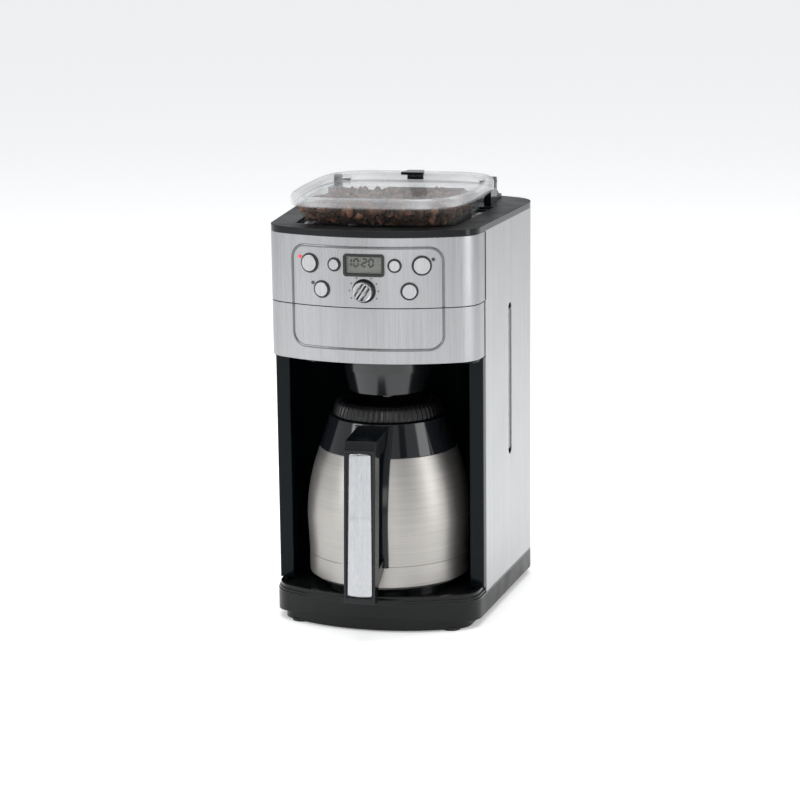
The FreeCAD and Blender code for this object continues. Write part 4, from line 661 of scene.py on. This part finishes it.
# ---- Control board ----------------------------------------------------------------------------
# A green circuit board behind the keys, in glass cloth and solder mask.
board_green, tree, shader = finish("circuit_board", {"Roughness": 0.35, "Coat Weight": 0.5})
place = add(tree, "ShaderNodeTexCoord")
tracks = add(tree, "ShaderNodeTexBrick", {
    "Vector": place.outputs["Object"], "Scale": 180.0, "Color1": (0.01, 0.10, 0.04, 1.0),
    "Color2": (0.015, 0.14, 0.05, 1.0), "Mortar": (0.03, 0.22, 0.08, 1.0),
})
tree.links.new(tracks.outputs[0], shader.inputs["Base Color"])
dress(board_green, "control_board")

# ---- Filter door ------------------------------------------------------------------------------
# The lower half of the front swings left on a steel pin. Its skin carries on the pressed line, and
# the black moulding behind it holds the filter.
DOOR_LINE_FOOT, DOOR_LINE_TOP = 0.2735, 0.3117
dress(panel_steel, "filter_door")
door_path = framed_path(LINE_HALF, DOOR_LINE_FOOT, LINE_CORNER, DOOR_LINE_TOP)
# The door's bead uses the same darker steel: painted shade along it.
pressed_line("door_pressed_line", door_path, "brew_door", shaded_bead_steel)
GLOSS_BLACK = (0.003, 0.0045, 0.0055)
black_gloss = moulded("polished_black", GLOSS_BLACK, 0.10, 0.00001, gloss=0.3)
dress(black_gloss, "door_inner", "carafe_rest", "hopper_lid_tab", "hopper_posts")
dress(moulded("holder_black", (0.006, 0.007, 0.008), 0.16, 0.00001, gloss=0.65), "filter_holder")

# ---- Mesh filter, drip stop and its spring ----------------------------------------------------
# A gold plated mesh cone in a black basket, over a silicone valve that a fine coil spring shuts.
gold, tree, shader = finish("gold_mesh", {"Metallic": 1.0, "Roughness": 0.25})
weave = cells(tree, 1400.0)
tone = between(tree, weave, (0.25, 0.15, 0.04), (0.85, 0.62, 0.25))
tree.links.new(tone, shader.inputs["Base Color"])
bump = add(tree, "ShaderNodeBump", {"Strength": 0.6, "Distance": 0.0003, "Height": weave})
tree.links.new(bump.outputs[0], shader.inputs["Normal"])
dress(gold, "mesh_filter")
silicone = moulded("milky_silicone", (0.55, 0.55, 0.52), 0.45, 0.00005)
dress(silicone, "drip_stop_valve", "water_tubes")
TURNED = (400.0, 400.0, 2600.0)
bright = brushed("bright_turned_metal", (0.70, 0.70, 0.70), 0.18, TURNED, anisotropy=0.2)
dress(bright, "drip_stop_spring", "lower_burr", "upper_burr")

# ---- Water and grinder parts inside -----------------------------------------------------------
# The tank behind the tower, its cast heater and check valve, the gauge tube in the right side's
# slot, and the grinder's motor.
dress(clear("smoked_tank", (0.10, 0.11, 0.12), 0.45, 0.85, 0.12), "reservoir_tank")
CAST = (700.0, 700.0, 700.0)
aluminium = brushed(
    "cast_aluminium", (0.58, 0.58, 0.59), 0.42, CAST, anisotropy=0.0, depth=0.0001)
dress(aluminium, "heater", "grinder_motor")
dress(moulded("valve_nylon", (0.26, 0.22, 0.16), 0.4, 0.00005), "check_valve")
dress(clear("gauge_tube", (0.09, 0.10, 0.11), 0.5, 0.75), "water_gauge")

# ---- Top deck and water lid -------------------------------------------------------------------
# A satin black top with a polished edge all round, and the water tank's flap at its back.
DECK_EDGE_HEIGHTS = (0.377, 0.3838)
dress(moulded(
    "satin_deck", (0.006, 0.0068, 0.0074), 0.38, 0.00004, gloss=0.22,
    polished=DECK_EDGE_HEIGHTS, soft_edge=0.0014,
), "top_deck")
water_lid_black = moulded("satin_water_lid", (0.013, 0.014, 0.015), 0.34, 0.00005, gloss=0.4)
dress(water_lid_black, "reservoir_lid")

# ---- Hopper and bean lid ----------------------------------------------------------------------
# Crystal clear plastic: a flared hopper set into the deck, and a dished lid hinged at the back.
dress(clear("clear_hopper", (0.16, 0.17, 0.17), 0.03, 0.34, 0.04, coat=0.3), "hopper")
lid_plastic = clear(
    "clear_lid", (0.26, 0.27, 0.28), 0.05, 0.32, 0.04, coat=0.12, painted_rim_light="rim")
low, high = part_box("hopper_lid")
# Each ring is the lid's outline moved in by an inset, at a height in millimetres. The outline is a
# superellipse: half the width times cos t to the power two over n, and the same with sin t along
# it, a little squarer at the front than at the back. The front half also draws in by FRONT_IN
# times the root of sin t, and the rim climbs by LID_CROWN towards the hinge.
LID_FOOT, LID_CROWN, LID_FRONT, LID_BACK = 0.4024, 0.0026, -0.1105, 0.0920
FRONT_IN, FRONT_POWER, BACK_POWER = 0.0075, 4.8, 4.6
RIM_HEIGHT, RIM_DEPTH, BAND_DEPTH, BAND_FOOT = 0.0095, 0.0088, 0.0078, 0.0003
LID_TURNS = 144
lid_profile = np.array([
    (0.0900, 2.2), (0.0400, 2.2), (0.0042, 2.2), (0.0030, 1.2), (0.0020, 0.0), (0.0, 0.0),
    (0.0, 1.6), (-0.0003, 2.0), (-0.0003, 6.6), (0.0004, 8.4), (0.0018, 9.4), (0.0040, 9.5),
    (0.0062, 9.4), (0.0076, 8.4), (0.0086, 5.2), (0.0098, 4.5), (0.0140, 4.3), (0.0400, 4.3),
    (0.0900, 4.3),
])
t = circle(LID_TURNS)[None, :]
inset, rise = lid_profile[:, :1], lid_profile[:, 1:] / 1000.0
lid_half, lid_reach = (high.x - low.x) / 2 - 0.0004, (LID_BACK - LID_FRONT) / 2
lid_middle = (LID_BACK + LID_FRONT) / 2
in_front = np.sin(t) < 0
power = 2 / np.where(in_front, FRONT_POWER, BACK_POWER)
drawn_in = FRONT_IN * in_front * np.abs(np.sin(t)) ** 0.5
lid_x = np.maximum(lid_half - drawn_in - inset, 0.0)
lid_x = lid_x * np.sign(np.cos(t)) * np.abs(np.cos(t)) ** power
lid_y = np.maximum(lid_reach - inset, 0.008) * np.sign(np.sin(t)) * np.abs(np.sin(t)) ** power
backward = np.clip(lid_y / lid_reach, 0.0, 1.0) ** 2
on_rim = np.clip(rise / RIM_HEIGHT, 0.0, 1.0) * (inset < RIM_DEPTH)
lid_z = LID_FOOT + rise + LID_CROWN * backward * on_rim
rows = len(lid_profile)
lid_faces = grid_faces(rows, LID_TURNS).tolist() + end_caps(rows, LID_TURNS)
lid_points = cloud(lid_x, lid_middle + lid_y, lid_z)
bean_lid = object_of("clear_bean_lid", lid_points, lid_faces, "bean_lid", lid_plastic)
# The rim attribute marks the lid's rim band, stronger and weaker in nine waves round it: a painted
# highlight on the rim.
marked(bean_lid, "rim", (inset < BAND_DEPTH) * (rise > BAND_FOOT) * (0.75 + 0.25 * np.sin(9 * t)))
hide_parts("hopper_lid")

# ---- Coffee beans -----------------------------------------------------------------------------
# The hopper's fill: roasted beans, each a flattened oval with a crease along its flat side. They
# lie in layers that widen with the hopper, and the lower layers are only a shell by its wall.
random = np.random.default_rng(7)
AROUND, ALONG = 8, 6
theta = circle(AROUND)[None]
phi = np.linspace(0.0, math.pi, ALONG)[:, None]
shape_y, shape_z = np.sin(phi) * np.cos(theta), np.sin(phi) * np.sin(theta)
shape_z = np.where(shape_z < 0, shape_z * 0.55, shape_z)
crease = np.exp(-((shape_y / 0.22) ** 2)) * (shape_z < 0) * np.sin(phi)
bean = cloud(np.cos(phi), shape_y, shape_z + 0.35 * crease)
HOPPER_RIM, FILL_FOOT = 0.402, 0.3857
LAYERS = (FILL_FOOT, 0.3905, 0.3950, 0.3985)
BEAN_SIZE, BEAN_STEP_X, BEAN_STEP_Y = (0.0050, 0.0036, 0.0028), 0.0072, 0.0066
JITTER, LEVEL_JITTER = 0.0012, 0.0007
CORNER_OFF, SHELL = 0.011, 0.012
LOWEST, HIGHEST = 0.3835, 0.4040
spots = []
for layer, z in enumerate(LAYERS):
    grow = (z - FILL_FOOT) / (HOPPER_RIM - FILL_FOOT)
    half = 0.0665 + 0.004 * grow
    near, far = -0.0745 - 0.024 * grow, 0.0480 + 0.0085 * grow
    x, y = np.meshgrid(
        np.arange(-half, half + 1e-6, BEAN_STEP_X), np.arange(near, far, BEAN_STEP_Y))
    x = np.clip(x.ravel() + random.normal(0, JITTER, x.size), -half, half)
    y = np.clip(y.ravel() + random.normal(0, JITTER, y.size), near, far)
    edge_in = np.minimum(half - abs(x), np.minimum(y - near, far - y))
    off_corner = (half - abs(x)) + (y - near) > CORNER_OFF
    keep = off_corner & ((edge_in < SHELL) | (layer >= 2))
    level = z + random.normal(0, LEVEL_JITTER, keep.sum())
    spots.append(np.stack([x[keep], y[keep], level], axis=1))
spots = np.concatenate(spots)
count = len(spots)
# Each bean's turn is a random unit quaternion, written out as a matrix.
turn = random.normal(size=(count, 4))
turn /= np.linalg.norm(turn, axis=1)[:, None]
w, a, b, c = turn.T
spin = np.stack([
    1 - 2 * (b * b + c * c), 2 * (a * b - c * w), 2 * (a * c + b * w),
    2 * (a * b + c * w), 1 - 2 * (a * a + c * c), 2 * (b * c - a * w),
    2 * (a * c - b * w), 2 * (b * c + a * w), 1 - 2 * (a * a + b * b),
], axis=1).reshape(count, 3, 3)
scale = np.array(BEAN_SIZE) * random.uniform(0.85, 1.1, (count, 1))
beans = np.einsum("nij,npj->npi", spin, bean[None] * scale[:, None]) + spots[:, None]
beans[:, :, 2] = np.clip(beans[:, :, 2], LOWEST, HIGHEST)
first_points = (np.arange(count) * AROUND * ALONG)[:, None, None]
bean_faces = (grid_faces(ALONG, AROUND)[None] + first_points).reshape(-1, 4)
roast, tree, shader = finish("roasted_bean", {"Specular IOR Level": 0.25})
tint = add(tree, "ShaderNodeAttribute", attribute_name="roast")
speckle = noise(tree, 420.0, 3.0)
ramp = add(tree, "ShaderNodeValToRGB", {0: scaled(tree, speckle, 0.5, tint.outputs["Fac"])})
stops = ramp.color_ramp.elements
stops.new(0.55)
roasts = ((0.15, (0.026, 0.011, 0.007)), (0.55, (0.085, 0.040, 0.025)), (1.0, (0.27, 0.13, 0.078)))
for index, (at, colour) in enumerate(roasts):
    stops[index].position = at
    stops[index].color = (*colour, 1.0)
tree.links.new(ramp.outputs[0], shader.inputs["Base Color"])
tree.links.new(carried(tree, speckle, 0.0, 1.0, 0.42, 0.70), shader.inputs["Roughness"])
bean_pile = object_of("coffee_beans", beans.reshape(-1, 3), bean_faces, "housing", roast)
marked(bean_pile, "roast", np.repeat(random.uniform(0.0, 0.75, count), AROUND * ALONG))

# ---- Carafe -----------------------------------------------------------------------------------
# A double walled steel flask spun on a lathe, so its lines run round it, with a polished black
# collar and handle. A strip of brushed steel is let into the grip.
SPUN = (9.0, 9.0, 2400.0)
spun = brushed("spun_steel", (0.42, 0.405, 0.385), 0.40, SPUN, anisotropy=0.5, turn=0.25,
               depth=0.000004)
spun.node_tree.nodes["Principled BSDF"].inputs["Metallic"].default_value = 0.8
dress(spun, "carafe_body", "carafe_cup", "carafe_liner")
dress(moulded(
    "polished_collar", (0.008, 0.009, 0.011), 0.08, 0.00001, soft_edge=0.001,
), "carafe_collar")
dress(moulded(
    "polished_handle", GLOSS_BLACK, 0.10, 0.00001, gloss=0.3, soft_edge=0.0015,
), "carafe_handle")

# The inlay is a crowned strip: across it, it falls back by the crown times u squared, along it, it
# leans straight, and it widens towards its foot inside the grip's pocket. Its corners are arcs.
low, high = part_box("handle_inlay")
INLAY_CROWN, INLAY_BED, INLAY_CORNER = 0.0008, 0.0009, 0.0020
INLAY_HALF, INLAY_TAPER = 0.0123, 0.0016
CLEARANCE, LEAN_SPARE = 0.0003, 0.0016
UP, ACROSS = 61, 25
v = np.linspace(0.0, 1.0, UP)[:, None]
u = np.linspace(-1.0, 1.0, ACROSS)[None, :]
end_in = np.minimum(v, 1.0 - v) * (high.z - low.z)
beyond = np.maximum(INLAY_CORNER - end_in, 0.0)
corner_in = INLAY_CORNER - np.sqrt(np.maximum(INLAY_CORNER ** 2 - beyond ** 2, 0.0))
inlay_x = u * (INLAY_HALF - INLAY_TAPER * v - corner_in)
inlay_z = low.z + CLEARANCE + v * (high.z - low.z - 2 * CLEARANCE)
lean = low.y + CLEARANCE + v * (high.y - low.y - LEAN_SPARE)
sheets = [cloud(inlay_x, lean + set_back, inlay_z) for set_back in (INLAY_CROWN * u ** 2, INLAY_BED)]
sheet = UP * ACROSS
front = grid_faces(UP, ACROSS, closed_columns=False)
back = front[:, ::-1] + sheet
border = [
    *range(0, ACROSS), *range(2 * ACROSS - 1, sheet, ACROSS),
    *range(sheet - 2, sheet - ACROSS - 1, -1), *range(sheet - 2 * ACROSS, 0, -ACROSS),
]
walls = [[b, a, a + sheet, b + sheet] for a, b in zip(border, border[1:] + border[:1])]
inlay_steel = brushed("handle_steel", (0.46, 0.468, 0.485), 0.26, UPRIGHT, soft_edge=0.0004)
inlay_faces = front.tolist() + back.tolist() + walls
inlay = object_of(
    "handle_steel_inlay", np.concatenate(sheets), inlay_faces, "carafe", inlay_steel)
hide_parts("handle_inlay")

# ---- Carafe lid -------------------------------------------------------------------------------
# A screw cap in grained black plastic with ribs round its edge for a wet hand, and a dished top
# that the drip stop opens over. It is a profile of radius and height, in millimetres, turned about
# the carafe's axis, with the ribs cut in by one plus cos of the rib count times t.
CARAFE_AXIS = -0.037475
RIBS, CAP_TURNS = 60, 480
RIB_DEPTH, RIB_START, RIB_FADE, RIB_FOOT = 0.0006, 0.0440, 0.0035, 0.1965
lid_rings = np.array([
    (0.0004, 199.0), (10.0, 199.2), (22.0, 200.0), (31.0, 201.2), (35.0, 203.4), (38.5, 207.2),
    (41.5, 209.4), (44.5, 209.9), (47.0, 209.5), (49.0, 208.4), (50.5, 206.4), (52.0, 203.0),
    (53.0, 199.5), (53.6, 197.0), (52.6, 196.2), (49.0, 196.1), (32.6, 196.0), (32.6, 183.6),
    (29.5, 183.6), (0.0004, 183.6),
]) / 1000.0
t = circle(CAP_TURNS)[None, :]
radius, cap_z = lid_rings[:, :1], lid_rings[:, 1:]
ribbed = np.clip((radius - RIB_START) / RIB_FADE, 0.0, 1.0) * (cap_z > RIB_FOOT)
radius = radius - RIB_DEPTH * ribbed * (1.0 + np.cos(RIBS * t))
cap_points = cloud(radius * np.cos(t), CARAFE_AXIS + radius * np.sin(t), cap_z)
rows = len(lid_rings)
cap_faces = grid_faces(rows, CAP_TURNS)[:, ::-1].tolist()
cap_faces += [face[::-1] for face in end_caps(rows, CAP_TURNS)]
cap_black = moulded("grained_cap", (0.006, 0.006, 0.007), 0.30, 0.00015, gloss=0.35)
cap = object_of("ribbed_carafe_cap", cap_points, cap_faces, "carafe_cap", cap_black)
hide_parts("carafe_lid")
